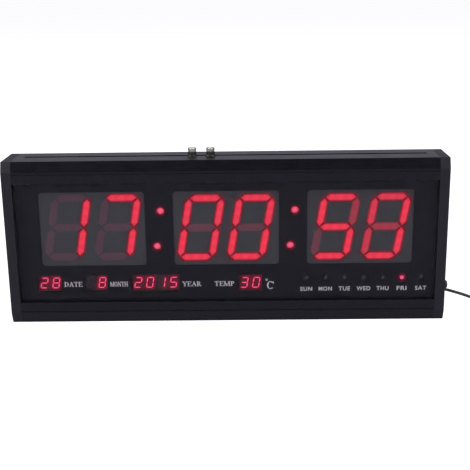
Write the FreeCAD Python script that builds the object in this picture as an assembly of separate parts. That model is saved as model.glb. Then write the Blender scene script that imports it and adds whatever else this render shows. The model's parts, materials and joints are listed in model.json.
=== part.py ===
"""A wall and desk LED calendar clock: two black extruded rails between moulded end caps, a recessed
clear lens over a printed mask, seven LED display modules on one board, side buttons, two hanging
bolts in a top slot, and a low-voltage lead with a plug-in adapter.

Millimetres, +Z up. Origin on the surface the clock stands on, under the middle of its case. The
display faces -Y and the right-hand end, with the buttons and the lead, is at +X."""
import os
import FreeCAD
import Part
from math import cos, hypot, pi, radians, sin, sqrt, tan

V = FreeCAD.Vector

# ---- case ----
WIDTH = 480.0
HEIGHT = 182.2
DEPTH = 53.0
FRONT = -DEPTH / 2
REAR = DEPTH / 2
CAP_THICK = 10.8
RAIL_END = WIDTH / 2 - CAP_THICK
CAP_WALL = 2.2
WALL = 1.8
BEVEL_DEPTH = 4.0
BEVEL_HEIGHT = 11.4
LIP_HEIGHT = 24.0
GROOVE_LOW = 13.1
GROOVE_WIDE = 1.2
GROOVE_DEEP = 0.8
CAP_EDGE_DEEP = 9.2
CAP_RIM_R = 0.6
FIT_GAP = 0.2

# ---- lens and mask ----
RECESS = 3.2
LENS_THICK = 4.0
LENS_FRONT = FRONT + RECESS
MASK_THICK = 0.4
MASK_FRONT = LENS_FRONT + LENS_THICK + 0.05
CHANNEL_FLOOR = 18.0
CHANNEL_WIDE = 4.7
CHANNEL_WALL = 1.5
CORNER_R = 4.0

# ---- rear cover ----
COVER_THICK = 2.0
COVER_FRONT = REAR - 4.0
COVER_EDGE = 5.0
REAR_FLANGE = 14.0
KEYHOLE_X = 150.0
KEYHOLE_Z = 150.0
KEYHOLE_R = 4.8
KEYHOLE_SLOT_R = 2.4
KEYHOLE_RISE = 9.0
VENT_SIZE = (2.6, 26.0)
VENT_PITCH = 7.0
VENTS_PER_BANK = 11
VENT_BANK_X = 105.0
VENT_Z = 60.0

# ---- end-cap screws ----
PORT_Y = (FRONT + 14.0, REAR - 12.0)
PORT_Z = 5.4
PORT_R = 3.6
PORT_HOLE_R = 1.5
M3_R = 1.45
M3_CLEAR_R = 1.7
M3_HEAD_R = 2.8
M3_HEAD_H = 2.0
M3_DRIVE = (1.1, 1.1)
CAP_SCREW_LONG = 22.0
CAP_SCREW_SUNK = 2.6
CAP_BOSS_R = 4.2

# ---- top slot and hangers ----
SLOT_Y = 3.5
SLOT_HALF = 2.7
SLOT_END = 219.5
T_HALF = 5.8
T_DEEP = 4.8
T_WALL = 2.0
HANGER_X = {"left": -36.0, "right": -16.0}
HANGER_R = 2.5
HANGER_RISE = 9.0
T_HEAD = (10.6, 11.2, 3.0)
WASHER_R = 5.6
WASHER_THICK = 1.0
NUT_FLATS = 8.0
LOWER_NUT_THICK = 3.7
UPPER_NUT_THICK = 3.9

# ---- displays ----
BOARD_FRONT = -7.3
BOARD_THICK = 1.6
BOARD_REAR = BOARD_FRONT + BOARD_THICK
BOARD_HALF_X = 222.0
BOARD_LOW = 26.0
BOARD_HIGH = HEIGHT - 25.0
WINDOW_X = {"hour": -145.4, "minute": 0.45, "second": 146.05}
WINDOW_Z = 105.9
WINDOW_SIZE = (115.0, 82.8)
BIG_CASE = (119.0, 87.0)
BIG_FACE = MASK_FRONT + MASK_THICK + 0.25
BIG_DIGIT = {"wide": 34.9, "half_tall": 33.1, "bar": 8.6, "gap": 1.3, "pitch": 54.75}
BIG_DIGIT_SHIFT = {"hour": (0.0, 1.75), "minute": (-0.4, 0.45), "second": (0.55, 0.15)}
SLANT = tan(radians(10.0))
BAR_DEEP = 3.0
SMALL_CASE_DEEP = 8.0
SMALL_FACE = BOARD_FRONT - SMALL_CASE_DEEP
SMALL_WINDOW_Z = 43.3
SMALL_HIGH = 19.0
SMALL_DIGIT = {"wide": 6.7, "half_tall": 5.7, "bar": 1.5, "gap": 0.25, "pitch": 13.1}
SMALL_ROW = {
    "date": (-196.6, 43.35, 2), "month": (-145.1, 43.4, 2),
    "year": (-78.8, 43.05, 4), "temperature": (26.25, 42.0, 2),
}
COLON_X = (-73.2, 72.8)
COLON_DROP = 0.25
COLON_RISE = 19.9
COLON_LEAN = 0.69
COLON_HOLE_R = 3.9
COLON_LED_R = 4.4
WEEKDAY_X = 88.4
WEEKDAY_PITCH = 21.1
WEEKDAY_Z = 47.5
WEEKDAY_HOLE_R = 3.9
WEEKDAY_LED_R = 3.5
WEEKDAYS = 7

# ---- boards and supports ----
STANDOFF_X = (-215.0, 0.0, 215.0)
STANDOFF_Z = (30.0, HEIGHT - 29.0)
STANDOFF_FLATS = 5.5
M3_SCREW_LONG = 8.0

# ---- parts on the back of the board: places as (x, z), sizes as given ----
LEG_PITCH = 2.54
LEG_WIDE = 0.8
CHIP_STANDS = 0.5
CHIP_TOP = 4.0
CONTROLLER_AT = (0.0, 104.0)
CLOCK_CHIP_AT = (52.0, 112.0)
DRIVER_OFFSETS = (-26.0, 26.0)
DRIVER_Z = 72.0
RESISTOR_SIZE = (22.8, 2.4, 5.5)
RESISTOR_Z = 85.2
CRYSTAL_AT = (71.5, 111.9)
CRYSTAL_SIZE = (11.0, 4.6, 3.6)
CAPACITORS = ((180.0, 5.0, 12.0), (166.0, 4.0, 11.0), (154.0, 4.0, 11.0))
SUPPLY_Z = 44.0
REGULATOR_X = 137.0
REGULATOR_WIDE = 10.0
BUZZER_X = -170.0
BUZZER_R = 6.0
BUZZER_TALL = 9.5
CELL_AT = (-49.0, 104.0)
CELL_R = 10.0
CELL_THICK = 3.2
HOLDER_FLOOR = 1.6
SENSOR_AT = (100.0, 34.0)
HEADER_X = 206.0
HEADER_Z = {"power": 44.0, "keys": 60.0}
HEADER_WIDE = {"power": 6.0, "keys": 11.0}
HEADER_TALL = 6.0

# ---- side buttons ----
BUTTON_Y = {"set": -11.0, "up": 1.0, "down": 13.0}
BUTTON_Z = 36.5
BUTTON_R = 4.5
BUTTON_CROWN_R = 1.8
BUTTON_PROUD = 5.3
BUTTON_HOLE_R = 4.8
BUTTON_FLANGE_R = 5.6
BUTTON_FLANGE = 1.4
BUTTON_TRAVEL = 1.0
STEM_R = 1.6
KEY_BOARD_X = 227.3
KEY_BOARD_Y = (-17.0, 19.0)
KEY_BOARD_Z = (28.0, 50.0)
STAKE_Y = (-14.0, 16.0)
STAKE_Z = 46.5
SWITCH_SIDE = 6.0
SWITCH_HIGH = 3.5
INNER_WALL_X = WIDTH / 2 - CAP_WALL
FLANGE_X = INNER_WALL_X - 0.1 - BUTTON_FLANGE
SWITCH_TOP_X = KEY_BOARD_X + BOARD_THICK + SWITCH_HIGH
PLUNGER_LONG = BUTTON_TRAVEL + 0.6

# ---- lead ----
LEAD_R = 1.7
INNER_LEAD_R = 1.3
KEY_CABLE_R = 1.1
RELIEF_Y = 7.0
RELIEF_Z = 24.4
RELIEF_TIP_X = WIDTH / 2 + 7.0
COIL_CENTRE = (330.5, 32.05)
COIL_MEAN_R = 18.9
COIL_HALF_WIDE = 7.1
COIL_HIGH = 13.75
LEAD_ROUTE = [
    (RELIEF_TIP_X, RELIEF_Y, RELIEF_Z),
    (255.0, 7.0, 22.2),
    (269.0, 7.05, 17.7),
    (285.0, 7.3, 11.5),
    (300.0, 7.7, 5.2),
    (316.0, 8.2, 1.9),
    (330.5, 7.75, LEAD_R),
]
TAIL_ROUTE = [
    (330.5, 7.75, 12.05),
    (337.5, 7.9, 12.15),
    (345.0, 9.2, 12.3),
    (352.0, 9.8, 12.4),
]

# ---- plug-in adapter ----
ADAPTER_X = 359.0
ADAPTER_SIZE = (62.0, 38.0, 27.0)
ADAPTER_Y = 9.8
ADAPTER_RELIEF_Z = 12.4
BLADE_SIZE = (1.5, 6.3, 17.0)
BLADE_GAP = 12.7
ADAPTER_CORNER_R = 5.0
ADAPTER_RIM_R = 1.6


def box(x0, x1, y0, y1, z0, z1):
    """A block between two corners."""
    return Part.makeBox(x1 - x0, y1 - y0, z1 - z0, V(x0, y0, z0))


def rod(radius, start, length, direction):
    """A cylinder from a start point along a direction."""
    return Part.makeCylinder(radius, length, V(*start), V(*direction))


def prism_x(points, x0, x1):
    """A prism along X of a closed outline given as (y, z) points."""
    loop = Part.makePolygon([V(x0, y, z) for y, z in points + points[:1]])
    return Part.Face(loop).extrude(V(x1 - x0, 0, 0))


def prism_y(points, y0, y1):
    """A prism along Y of a closed outline given as (x, z) points."""
    loop = Part.makePolygon([V(x, y0, z) for x, z in points + points[:1]])
    return Part.Face(loop).extrude(V(0, y1 - y0, 0))


def hexagon(flats, x, y, z0, z1):
    """A hexagonal bar standing along Z."""
    corner = flats / sqrt(3)
    points = [V(x + corner * cos(k * pi / 3), y + corner * sin(k * pi / 3), z0) for k in range(6)]
    return Part.Face(Part.makePolygon(points + points[:1])).extrude(V(0, 0, z1 - z0))


def round_window(x, z, wide, tall, y0, y1, radius):
    """A block along Y with rounded corners, used to cut a window."""
    block = box(x - wide / 2, x + wide / 2, y0, y1, z - tall / 2, z + tall / 2)
    upright = [e for e in block.Edges if abs(e.tangentAt(e.FirstParameter).y) > 0.9]
    return block.makeFillet(radius, upright)


def flip_z(shape):
    """The same shape upside down about the middle of the case."""
    return shape.mirror(V(0, 0, HEIGHT / 2), V(0, 0, 1))


def flip_x(shape):
    """The same shape mirrored left to right."""
    return shape.mirror(V(0, 0, 0), V(1, 0, 0))


def compound(solids):
    """Separate solids kept together as one sub-part."""
    return Part.makeCompound(solids)


# ---- case ----

def rail_body():
    """The rail section at the foot of the case: bevelled front, lens channel and cover channel."""
    lean = WALL / cos(radians(18.0))
    outline = [
        (FRONT + BEVEL_DEPTH, 0), (REAR, 0), (REAR, WALL), (FRONT + BEVEL_DEPTH + lean, WALL),
        (FRONT + lean, BEVEL_HEIGHT), (FRONT + WALL, BEVEL_HEIGHT + 0.6), (FRONT + WALL, LIP_HEIGHT),
        (FRONT, LIP_HEIGHT), (FRONT, BEVEL_HEIGHT),
    ]
    skin = prism_x(outline, -RAIL_END, RAIL_END)
    ledge = box(-RAIL_END, RAIL_END, FRONT, LENS_FRONT, LIP_HEIGHT - WALL, LIP_HEIGHT)
    channel_low = CHANNEL_FLOOR - CHANNEL_WALL
    channel_start = LENS_FRONT - 0.1
    channel_end = channel_start + CHANNEL_WIDE
    block = box(-RAIL_END, RAIL_END, channel_start - CHANNEL_WALL, channel_end + CHANNEL_WALL,
                channel_low, LIP_HEIGHT)
    groove = box(-RAIL_END, RAIL_END, channel_start, channel_end, CHANNEL_FLOOR, LIP_HEIGHT)
    rear_block = box(-RAIL_END, RAIL_END, COVER_FRONT - 1.9, REAR, 0, REAR_FLANGE)
    rear_groove = box(-RAIL_END, RAIL_END, COVER_FRONT - 0.1, COVER_FRONT + COVER_THICK + 0.1,
                      COVER_EDGE - 1.0, REAR_FLANGE)
    body = skin.fuse([ledge, block, rear_block])
    for y in PORT_Y:
        web = box(-RAIL_END, RAIL_END, y - WALL, y + WALL, 0, PORT_Z)
        port = rod(PORT_R, (-RAIL_END, y, PORT_Z), 2 * RAIL_END, (1, 0, 0))
        body = body.fuse([web, port])
    line = box(-RAIL_END, RAIL_END, FRONT, FRONT + GROOVE_DEEP, GROOVE_LOW, GROOVE_LOW + GROOVE_WIDE)
    cuts = [groove, rear_groove, line]
    for y in PORT_Y:
        cuts.append(rod(PORT_HOLE_R, (-RAIL_END, y, PORT_Z), 2 * RAIL_END, (1, 0, 0)))
    return body.cut(cuts).removeSplitter()


def bottom_rail():
    """The lower rail, which the clock stands on."""
    return rail_body()


def top_rail():
    """The upper rail: the same section upside down, with a T-channel and a milled slot along it."""
    t_low = HEIGHT - WALL - T_DEEP
    block = box(-RAIL_END, RAIL_END, SLOT_Y - T_HALF - T_WALL, SLOT_Y + T_HALF + T_WALL,
                t_low - WALL, HEIGHT)
    cavity = box(-RAIL_END, RAIL_END, SLOT_Y - T_HALF, SLOT_Y + T_HALF, t_low, HEIGHT - WALL)
    slot = box(-SLOT_END, SLOT_END, SLOT_Y - SLOT_HALF, SLOT_Y + SLOT_HALF, t_low, HEIGHT)
    return flip_z(rail_body()).fuse(block).cut([cavity, slot]).removeSplitter()


def cap_ports():
    """Where the four cap screws go, as (y, z)."""
    return [(y, z) for y in PORT_Y for z in (PORT_Z, HEIGHT - PORT_Z)]


def end_cap():
    """The right-hand cap before its holes: a solid front edge, a cored back and four screw bosses."""
    outline = [
        (FRONT + BEVEL_DEPTH, 0), (REAR, 0), (REAR, HEIGHT), (FRONT + BEVEL_DEPTH, HEIGHT),
        (FRONT, HEIGHT - BEVEL_HEIGHT), (FRONT, BEVEL_HEIGHT),
    ]
    body = prism_x(outline, RAIL_END, WIDTH / 2)
    pocket = box(RAIL_END, WIDTH / 2 - CAP_WALL, FRONT + CAP_EDGE_DEEP, REAR - CAP_WALL,
                 CAP_WALL, HEIGHT - CAP_WALL)
    body = body.cut(pocket)
    bosses = [rod(CAP_BOSS_R, (RAIL_END, y, z), CAP_THICK - 1.0, (1, 0, 0)) for y, z in cap_ports()]
    body = body.fuse(bosses)
    cuts = []
    for y, z in cap_ports():
        cuts.append(rod(M3_CLEAR_R, (RAIL_END, y, z), CAP_THICK, (1, 0, 0)))
        sink = (WIDTH / 2 - CAP_SCREW_SUNK, y, z)
        cuts.append(rod(M3_HEAD_R + 0.3, sink, CAP_SCREW_SUNK, (1, 0, 0)))
    body = body.cut(cuts).removeSplitter()
    rim = [e for e in body.Edges if e.BoundBox.XMin > WIDTH / 2 - 0.01 and e.BoundBox.DiagonalLength > 8]
    return body.makeFillet(CAP_RIM_R, rim)


def left_end_cap():
    """The plain cap at the left-hand end."""
    return flip_x(end_cap())


def right_end_cap():
    """The cap with holes for three buttons and the lead, and two stakes for the key board."""
    body = end_cap()
    stakes = []
    for y in STAKE_Y:
        stakes.append(rod(2.0, (KEY_BOARD_X + BOARD_THICK, y, STAKE_Z), 9.5, (1, 0, 0)))
        stakes.append(rod(1.0, (KEY_BOARD_X - 0.8, y, STAKE_Z), 4.0, (1, 0, 0)))
    body = body.fuse(stakes)
    plate = WIDTH / 2 - CAP_WALL - 1
    holes = [rod(BUTTON_HOLE_R, (plate, y, BUTTON_Z), 5, (1, 0, 0)) for y in BUTTON_Y.values()]
    holes.append(rod(3.1, (plate, RELIEF_Y, RELIEF_Z), 5, (1, 0, 0)))
    return body.cut(holes).removeSplitter()


def screw(head_at, direction, length):
    """A pan-head M3 screw: the head lies behind head_at, and the shank runs on along direction."""
    d = V(*direction)
    at = V(*head_at)
    head = Part.makeCylinder(M3_HEAD_R, M3_HEAD_H, at - d * M3_HEAD_H, d)
    shank = Part.makeCylinder(M3_R, length, at, d)
    cross = Part.makeCylinder(*M3_DRIVE, at - d * M3_HEAD_H, d)
    return head.fuse(shank).cut(cross)


def cap_screws():
    """Eight screws that hold the end caps on the rails."""
    made = []
    for y, z in cap_ports():
        made.append(screw((WIDTH / 2 - CAP_SCREW_SUNK, y, z), (-1, 0, 0), CAP_SCREW_LONG))
    return compound(made + [flip_x(s) for s in made])


def front_lens():
    """The clear acrylic sheet, held in both rails' channels."""
    edge = CHANNEL_FLOOR + 0.3
    return box(-RAIL_END + FIT_GAP, RAIL_END - FIT_GAP, LENS_FRONT, LENS_FRONT + LENS_THICK,
               edge, HEIGHT - edge)


def colon_dots():
    """Centres of the four colon lights, as (x, z): each pair slants nearly as much as the digits."""
    made = []
    for x in COLON_X:
        for side in (-1, 1):
            lean = side * COLON_RISE * SLANT * COLON_LEAN
            made.append((x + lean, WINDOW_Z - COLON_DROP + side * COLON_RISE))
    return made


def weekday_dots():
    """Centres of the seven weekday lights, as (x, z)."""
    return [(WEEKDAY_X + WEEKDAY_PITCH * k, WEEKDAY_Z) for k in range(WEEKDAYS)]


def legend_mask():
    """The black printed sheet behind the lens, with a window for every display and lamp."""
    edge = CHANNEL_FLOOR + 0.6
    sheet = box(-RAIL_END + FIT_GAP, RAIL_END - FIT_GAP, MASK_FRONT, MASK_FRONT + MASK_THICK,
                edge, HEIGHT - edge)
    y0, y1 = MASK_FRONT - 1, MASK_FRONT + MASK_THICK + 1
    cuts = [round_window(x, WINDOW_Z, *WINDOW_SIZE, y0, y1, CORNER_R) for x in WINDOW_X.values()]
    for x, _, digits in SMALL_ROW.values():
        wide = digits * SMALL_DIGIT["pitch"]
        cuts.append(round_window(x, SMALL_WINDOW_Z, wide, SMALL_HIGH + 1.0, y0, y1, 0.8))
    cuts += [rod(COLON_HOLE_R, (x, y0, z), y1 - y0, (0, 1, 0)) for x, z in colon_dots()]
    cuts += [rod(WEEKDAY_HOLE_R, (x, y0, z), y1 - y0, (0, 1, 0)) for x, z in weekday_dots()]
    return sheet.cut(cuts)


def rear_cover():
    """The sheet that closes the back: vents, two keyholes and six screw holes."""
    sheet = box(-RAIL_END + FIT_GAP, RAIL_END - FIT_GAP, COVER_FRONT, COVER_FRONT + COVER_THICK,
                COVER_EDGE, HEIGHT - COVER_EDGE)
    y0, long = COVER_FRONT - 1, COVER_THICK + 2
    cuts = []
    for x in (-KEYHOLE_X, KEYHOLE_X):
        cuts.append(rod(KEYHOLE_R, (x, y0, KEYHOLE_Z), long, (0, 1, 0)))
        cuts.append(rod(KEYHOLE_SLOT_R, (x, y0, KEYHOLE_Z + KEYHOLE_RISE), long, (0, 1, 0)))
        cuts.append(box(x - KEYHOLE_SLOT_R, x + KEYHOLE_SLOT_R, y0, y0 + long,
                        KEYHOLE_Z, KEYHOLE_Z + KEYHOLE_RISE))
    for x in STANDOFF_X:
        for z in STANDOFF_Z:
            cuts.append(rod(M3_CLEAR_R, (x, y0, z), long, (0, 1, 0)))
    for bank in (-1, 1):
        for x in digit_centres(bank * VENT_BANK_X, VENTS_PER_BANK, VENT_PITCH):
            cuts.append(round_window(x, VENT_Z, *VENT_SIZE, y0, y0 + long, 1.2))
    return sheet.cut(cuts)


# ---- hangers ----

def hanger_bolt(x):
    """A T-headed bolt whose head lies in the rail's channel and whose shank stands out of the slot."""
    head_top = HEIGHT - WALL - 0.1
    head = box(x - T_HEAD[0] / 2, x + T_HEAD[0] / 2, SLOT_Y - T_HEAD[1] / 2, SLOT_Y + T_HEAD[1] / 2,
               head_top - T_HEAD[2], head_top)
    shank = rod(HANGER_R, (x, SLOT_Y, head_top - 1), HEIGHT + HANGER_RISE - head_top + 1, (0, 0, 1))
    tip = [e for e in shank.Edges if e.BoundBox.ZMin > HEIGHT + HANGER_RISE - 0.01]
    return head.fuse(shank.makeChamfer(0.5, tip))


def hanger_washer(x):
    """The flat washer on the rail's top face."""
    low = HEIGHT + 0.05
    ring = rod(WASHER_R, (x, SLOT_Y, low), WASHER_THICK, (0, 0, 1))
    return ring.cut(rod(HANGER_R + 0.15, (x, SLOT_Y, low), WASHER_THICK, (0, 0, 1)))


def nut(x, low, thick):
    """A hexagon nut on the hanger's shank, with its upper corners turned down."""
    blank = hexagon(NUT_FLATS, x, SLOT_Y, low, low + thick)
    corner = NUT_FLATS / sqrt(3)
    cone = Part.makeCone(corner + 0.1, corner - 0.75, 1.0, V(x, SLOT_Y, low + thick - 0.9))
    cup = rod(corner + 0.1, (x, SLOT_Y, low), thick - 0.9, (0, 0, 1)).fuse(cone)
    return blank.common(cup).cut(rod(HANGER_R + 0.05, (x, SLOT_Y, low), thick, (0, 0, 1)))


def hanger_nuts(x):
    """The clamping nut on the washer and the lock nut on top of it."""
    low = HEIGHT + 0.05 + WASHER_THICK
    return compound([nut(x, low, LOWER_NUT_THICK), nut(x, low + LOWER_NUT_THICK + 0.1, UPPER_NUT_THICK)])


# ---- displays ----

def bar_outline(start, end, bar, gap):
    """The six corners of one display bar between two digit nodes, before the slant."""
    dx, dz = end[0] - start[0], end[1] - start[1]
    length = hypot(dx, dz)
    ux, uz = dx / length, dz / length
    half = bar / 2
    along = ((gap, 0), (gap + half, half), (length - gap - half, half),
             (length - gap, 0), (length - gap - half, -half), (gap + half, -half))
    return [(start[0] + ux * a - uz * b, start[1] + uz * a + ux * b) for a, b in along]


def digit_bars(x, z, style, y0, y1):
    """The seven bars of one digit as solids, in the order a to g."""
    w, h = style["wide"] / 2, style["half_tall"]
    nodes = {"tl": (-w, h), "tr": (w, h), "ml": (-w, 0), "mr": (w, 0), "bl": (-w, -h), "br": (w, -h)}
    pairs = ("tl tr", "mr tr", "br mr", "bl br", "bl ml", "ml tl", "ml mr")
    made = []
    for pair in pairs:
        start, end = (nodes[n] for n in pair.split())
        corners = bar_outline(start, end, style["bar"], style["gap"])
        made.append(prism_y([(x + cx + cz * SLANT, z + cz) for cx, cz in corners], y0, y1))
    return made


def digit_centres(x, count, pitch):
    """The middle of each digit in a row centred on x."""
    return [x + (k - (count - 1) / 2) * pitch for k in range(count)]


def big_bars(name):
    """The fourteen light bars of one large two-digit display."""
    made = []
    shift_x, shift_z = BIG_DIGIT_SHIFT[name]
    for centre in digit_centres(WINDOW_X[name] + shift_x, 2, BIG_DIGIT["pitch"]):
        made += digit_bars(centre, WINDOW_Z + shift_z, BIG_DIGIT, BIG_FACE, BIG_FACE + BAR_DEEP)
    return made


def big_case(name):
    """The grey-faced housing of a large display, with a well for each light bar."""
    x = WINDOW_X[name]
    wide, tall = BIG_CASE
    block = box(x - wide / 2, x + wide / 2, BIG_FACE, BOARD_FRONT, WINDOW_Z - tall / 2,
                WINDOW_Z + tall / 2)
    return block.cut(big_bars(name))


def small_bars(name):
    """The light bars of one small display."""
    x, z, digits = SMALL_ROW[name]
    made = []
    for centre in digit_centres(x, digits, SMALL_DIGIT["pitch"]):
        made += digit_bars(centre, z, SMALL_DIGIT, SMALL_FACE, SMALL_FACE + BAR_DEEP / 2)
    return made


def small_case(name):
    """The dark red housing of a small display; the year is two two-digit housings side by side."""
    x, z, digits = SMALL_ROW[name]
    made = []
    for centre in digit_centres(x, digits // 2, 2 * SMALL_DIGIT["pitch"]):
        half = SMALL_DIGIT["pitch"] - 0.35
        made.append(box(centre - half, centre + half, SMALL_FACE, BOARD_FRONT,
                        z - SMALL_HIGH / 2, z + SMALL_HIGH / 2))
    return compound([block.cut(small_bars(name)) for block in made])


def small_segments():
    """Every light bar of the four small displays."""
    return compound([bar for name in SMALL_ROW for bar in small_bars(name)])


def lamp(x, z, radius, tip_y):
    """A round LED: domed lens towards the front, a wider foot on the board."""
    dome = Part.makeSphere(radius, V(x, tip_y + radius, z))
    barrel = rod(radius, (x, tip_y + radius, z), BOARD_FRONT - tip_y - radius, (0, 1, 0))
    foot = rod(radius + 0.4, (x, BOARD_FRONT - 1.2, z), 1.2, (0, 1, 0))
    return barrel.fuse([dome, foot]).removeSplitter()


def colon_leds():
    """The four large colon lamps."""
    return compound([lamp(x, z, COLON_LED_R, BIG_FACE) for x, z in colon_dots()])


def weekday_leds():
    """The seven weekday lamps."""
    return compound([lamp(x, z, WEEKDAY_LED_R, BIG_FACE + 0.6) for x, z in weekday_dots()])


# ---- main board ----

def board_holes():
    """Where the six board supports are, as (x, z)."""
    return [(x, z) for x in STANDOFF_X for z in STANDOFF_Z]


def main_board():
    """The board that carries every display and chip."""
    board = box(-BOARD_HALF_X, BOARD_HALF_X, BOARD_FRONT, BOARD_REAR, BOARD_LOW, BOARD_HIGH)
    return board.cut([rod(M3_CLEAR_R, (x, BOARD_FRONT - 1, z), 4, (0, 1, 0)) for x, z in board_holes()])


def on_board(x0, x1, z0, z1, stands, top):
    """A block over the back of the board, between two heights above it."""
    return box(x0, x1, BOARD_REAR + stands, BOARD_REAR + top, z0, z1)


def chip(x, z, pins, row=7.6):
    """A dual-in-line chip on the back of the board with two rows of legs."""
    long = pins / 2 * LEG_PITCH
    body = on_board(x - long / 2, x + long / 2, z - row / 2 + 0.5, z + row / 2 - 0.5, CHIP_STANDS, CHIP_TOP)
    notch = rod(1.0, (x - long / 2, BOARD_REAR + CHIP_TOP - 0.8, z), 1.0, (0, 1, 0))
    legs = []
    for k in range(pins // 2):
        leg_x = x - long / 2 + LEG_PITCH * (k + 0.5)
        left, right = leg_x - LEG_WIDE / 2, leg_x + LEG_WIDE / 2
        for side in (-1, 1):
            edge = z + side * row / 2
            inner = sorted((edge, edge - side * LEG_WIDE))
            legs.append(on_board(left, right, edge - 0.25, edge + 0.25, 0, 2.4))
            legs.append(on_board(left, right, *inner, 1.9, 2.4))
    return body.cut(notch).fuse(legs).removeSplitter()


def microcontroller():
    """The forty-leg controller."""
    return chip(*CONTROLLER_AT, 40, row=15.2)


def clock_chip():
    """The eight-leg real-time clock."""
    return chip(*CLOCK_CHIP_AT, 8)


def driver_places():
    """The middles of the six driver chips along the board, two behind each large display."""
    return [x + dx for x in WINDOW_X.values() for dx in DRIVER_OFFSETS]


def segment_drivers():
    """The six eighteen-leg driver chips."""
    return compound([chip(x, DRIVER_Z, 18) for x in driver_places()])


def resistor_networks():
    """Six upright resistor packs above the drivers."""
    long, thick, tall = RESISTOR_SIZE
    low, high = RESISTOR_Z - thick / 2, RESISTOR_Z + thick / 2
    return compound([on_board(x - long / 2, x + long / 2, low, high, 0, tall) for x in driver_places()])


def crystal():
    """The oval metal can next to the clock chip."""
    x, z = CRYSTAL_AT
    long, wide, tall = CRYSTAL_SIZE
    can = on_board(x - long / 2, x + long / 2, z - wide / 2, z + wide / 2, 0, tall)
    upright = [e for e in can.Edges if abs(e.tangentAt(e.FirstParameter).y) > 0.9]
    return can.makeFillet(wide / 2 - 0.1, upright)


def capacitors():
    """Three electrolytic cans near the supply corner."""
    made = []
    for x, radius, tall in CAPACITORS:
        can = rod(radius, (x, BOARD_REAR, SUPPLY_Z), tall, (0, 1, 0))
        rim = [e for e in can.Edges if e.BoundBox.YMin > BOARD_REAR + tall - 0.01]
        made.append(can.makeFillet(0.6, rim))
    return compound(made)


def voltage_regulator():
    """A flat-tab regulator standing on the board on three legs."""
    left, right = REGULATOR_X - REGULATOR_WIDE / 2, REGULATOR_X + REGULATOR_WIDE / 2
    body = on_board(left, right, SUPPLY_Z - 2.0, SUPPLY_Z + 2.4, 3.0, 12.0)
    tab = on_board(left, right, SUPPLY_Z + 2.4, SUPPLY_Z + 3.7, 3.0, 18.5)
    hole = rod(1.9, (REGULATOR_X, BOARD_REAR + 15.8, SUPPLY_Z + 2), 3, (0, 0, 1))
    legs = [on_board(REGULATOR_X + dx - LEG_WIDE / 2, REGULATOR_X + dx + LEG_WIDE / 2, SUPPLY_Z - 0.4,
                     SUPPLY_Z + 0.3, 0, 3.2) for dx in (-LEG_PITCH, 0, LEG_PITCH)]
    return body.fuse([tab] + legs).cut(hole)


def buzzer():
    """The round sounder that chimes the hour."""
    can = rod(BUZZER_R, (BUZZER_X, BOARD_REAR, SUPPLY_Z), BUZZER_TALL, (0, 1, 0))
    return can.cut(rod(1.2, (BUZZER_X, BOARD_REAR + BUZZER_TALL - 2.5, SUPPLY_Z), 4, (0, 1, 0)))


def battery_holder():
    """The cradle for the backup cell: a tray open to one side, with a spring clip over the cell."""
    x, z = CELL_AT
    reach = CELL_R + 3
    tray = on_board(x - reach, x + reach, z - 12, z + 12, 0, 6.0)
    well = rod(CELL_R + 0.3, (x, BOARD_REAR + HOLDER_FLOOR, z), 6, (0, 1, 0))
    gate = on_board(x - reach, x - 4, z - 7, z + 7, HOLDER_FLOOR, 8.0)
    clip = on_board(x + 8.5, x + 12.5, z - 4, z + 4, 5.2, 6.4)
    return tray.cut([well, gate]).fuse(clip)


def backup_cell():
    """The coin cell that keeps the time with the power off."""
    x, z = CELL_AT
    cell = rod(CELL_R, (x, BOARD_REAR + HOLDER_FLOOR, z), CELL_THICK, (0, 1, 0))
    rims = [e for e in cell.Edges if e.Curve.TypeId == "Part::GeomCircle"]
    return cell.makeChamfer(0.4, rims)


def temperature_sensor():
    """A small half-round sensor low on the board, by the vents."""
    x, z = SENSOR_AT
    can = rod(2.3, (x, BOARD_REAR + 2.5, z), 4.6, (0, 1, 0))
    flat = on_board(x - 10, x + 10, z - 5, z - 1.2, 0, 9.0)
    legs = [on_board(x + dx - 0.25, x + dx + 0.25, z - 0.2, z + 0.3, 0, 2.6) for dx in (-1.2, 0, 1.2)]
    return can.cut(flat).fuse(legs)


def board_headers():
    """Open-topped plug sockets for the supply and for the key lead."""
    made = []
    for name, z in HEADER_Z.items():
        half = HEADER_WIDE[name] / 2
        shell = on_board(HEADER_X - 3, HEADER_X + 3, z - half, z + half, 0, HEADER_TALL)
        mouth = on_board(HEADER_X - 2, HEADER_X + 2, z - half + 1, z + half - 1, 2.0, HEADER_TALL)
        made.append(shell.cut(mouth))
    return compound(made)


def board_standoffs():
    """Six hexagonal pillars from the rear cover to the board."""
    made = []
    for x, z in board_holes():
        bar = hexagon(STANDOFF_FLATS, 0, 0, 0, COVER_FRONT - BOARD_REAR)
        bar.rotate(V(0, 0, 0), V(1, 0, 0), -90)
        bar.translate(V(x, BOARD_REAR, z))
        bores = [rod(M3_CLEAR_R, (x, BOARD_REAR, z), M3_SCREW_LONG, (0, 1, 0)),
                 rod(M3_CLEAR_R, (x, COVER_FRONT - M3_SCREW_LONG, z), M3_SCREW_LONG, (0, 1, 0))]
        made.append(bar.cut(bores))
    return compound(made)


def board_screws():
    """Twelve M3 screws: six through the board and six through the rear cover."""
    made = []
    for x, z in board_holes():
        made.append(screw((x, BOARD_FRONT, z), (0, 1, 0), M3_SCREW_LONG))
        made.append(screw((x, COVER_FRONT + COVER_THICK, z), (0, -1, 0), M3_SCREW_LONG))
    return compound(made)


# ---- side buttons ----

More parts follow.
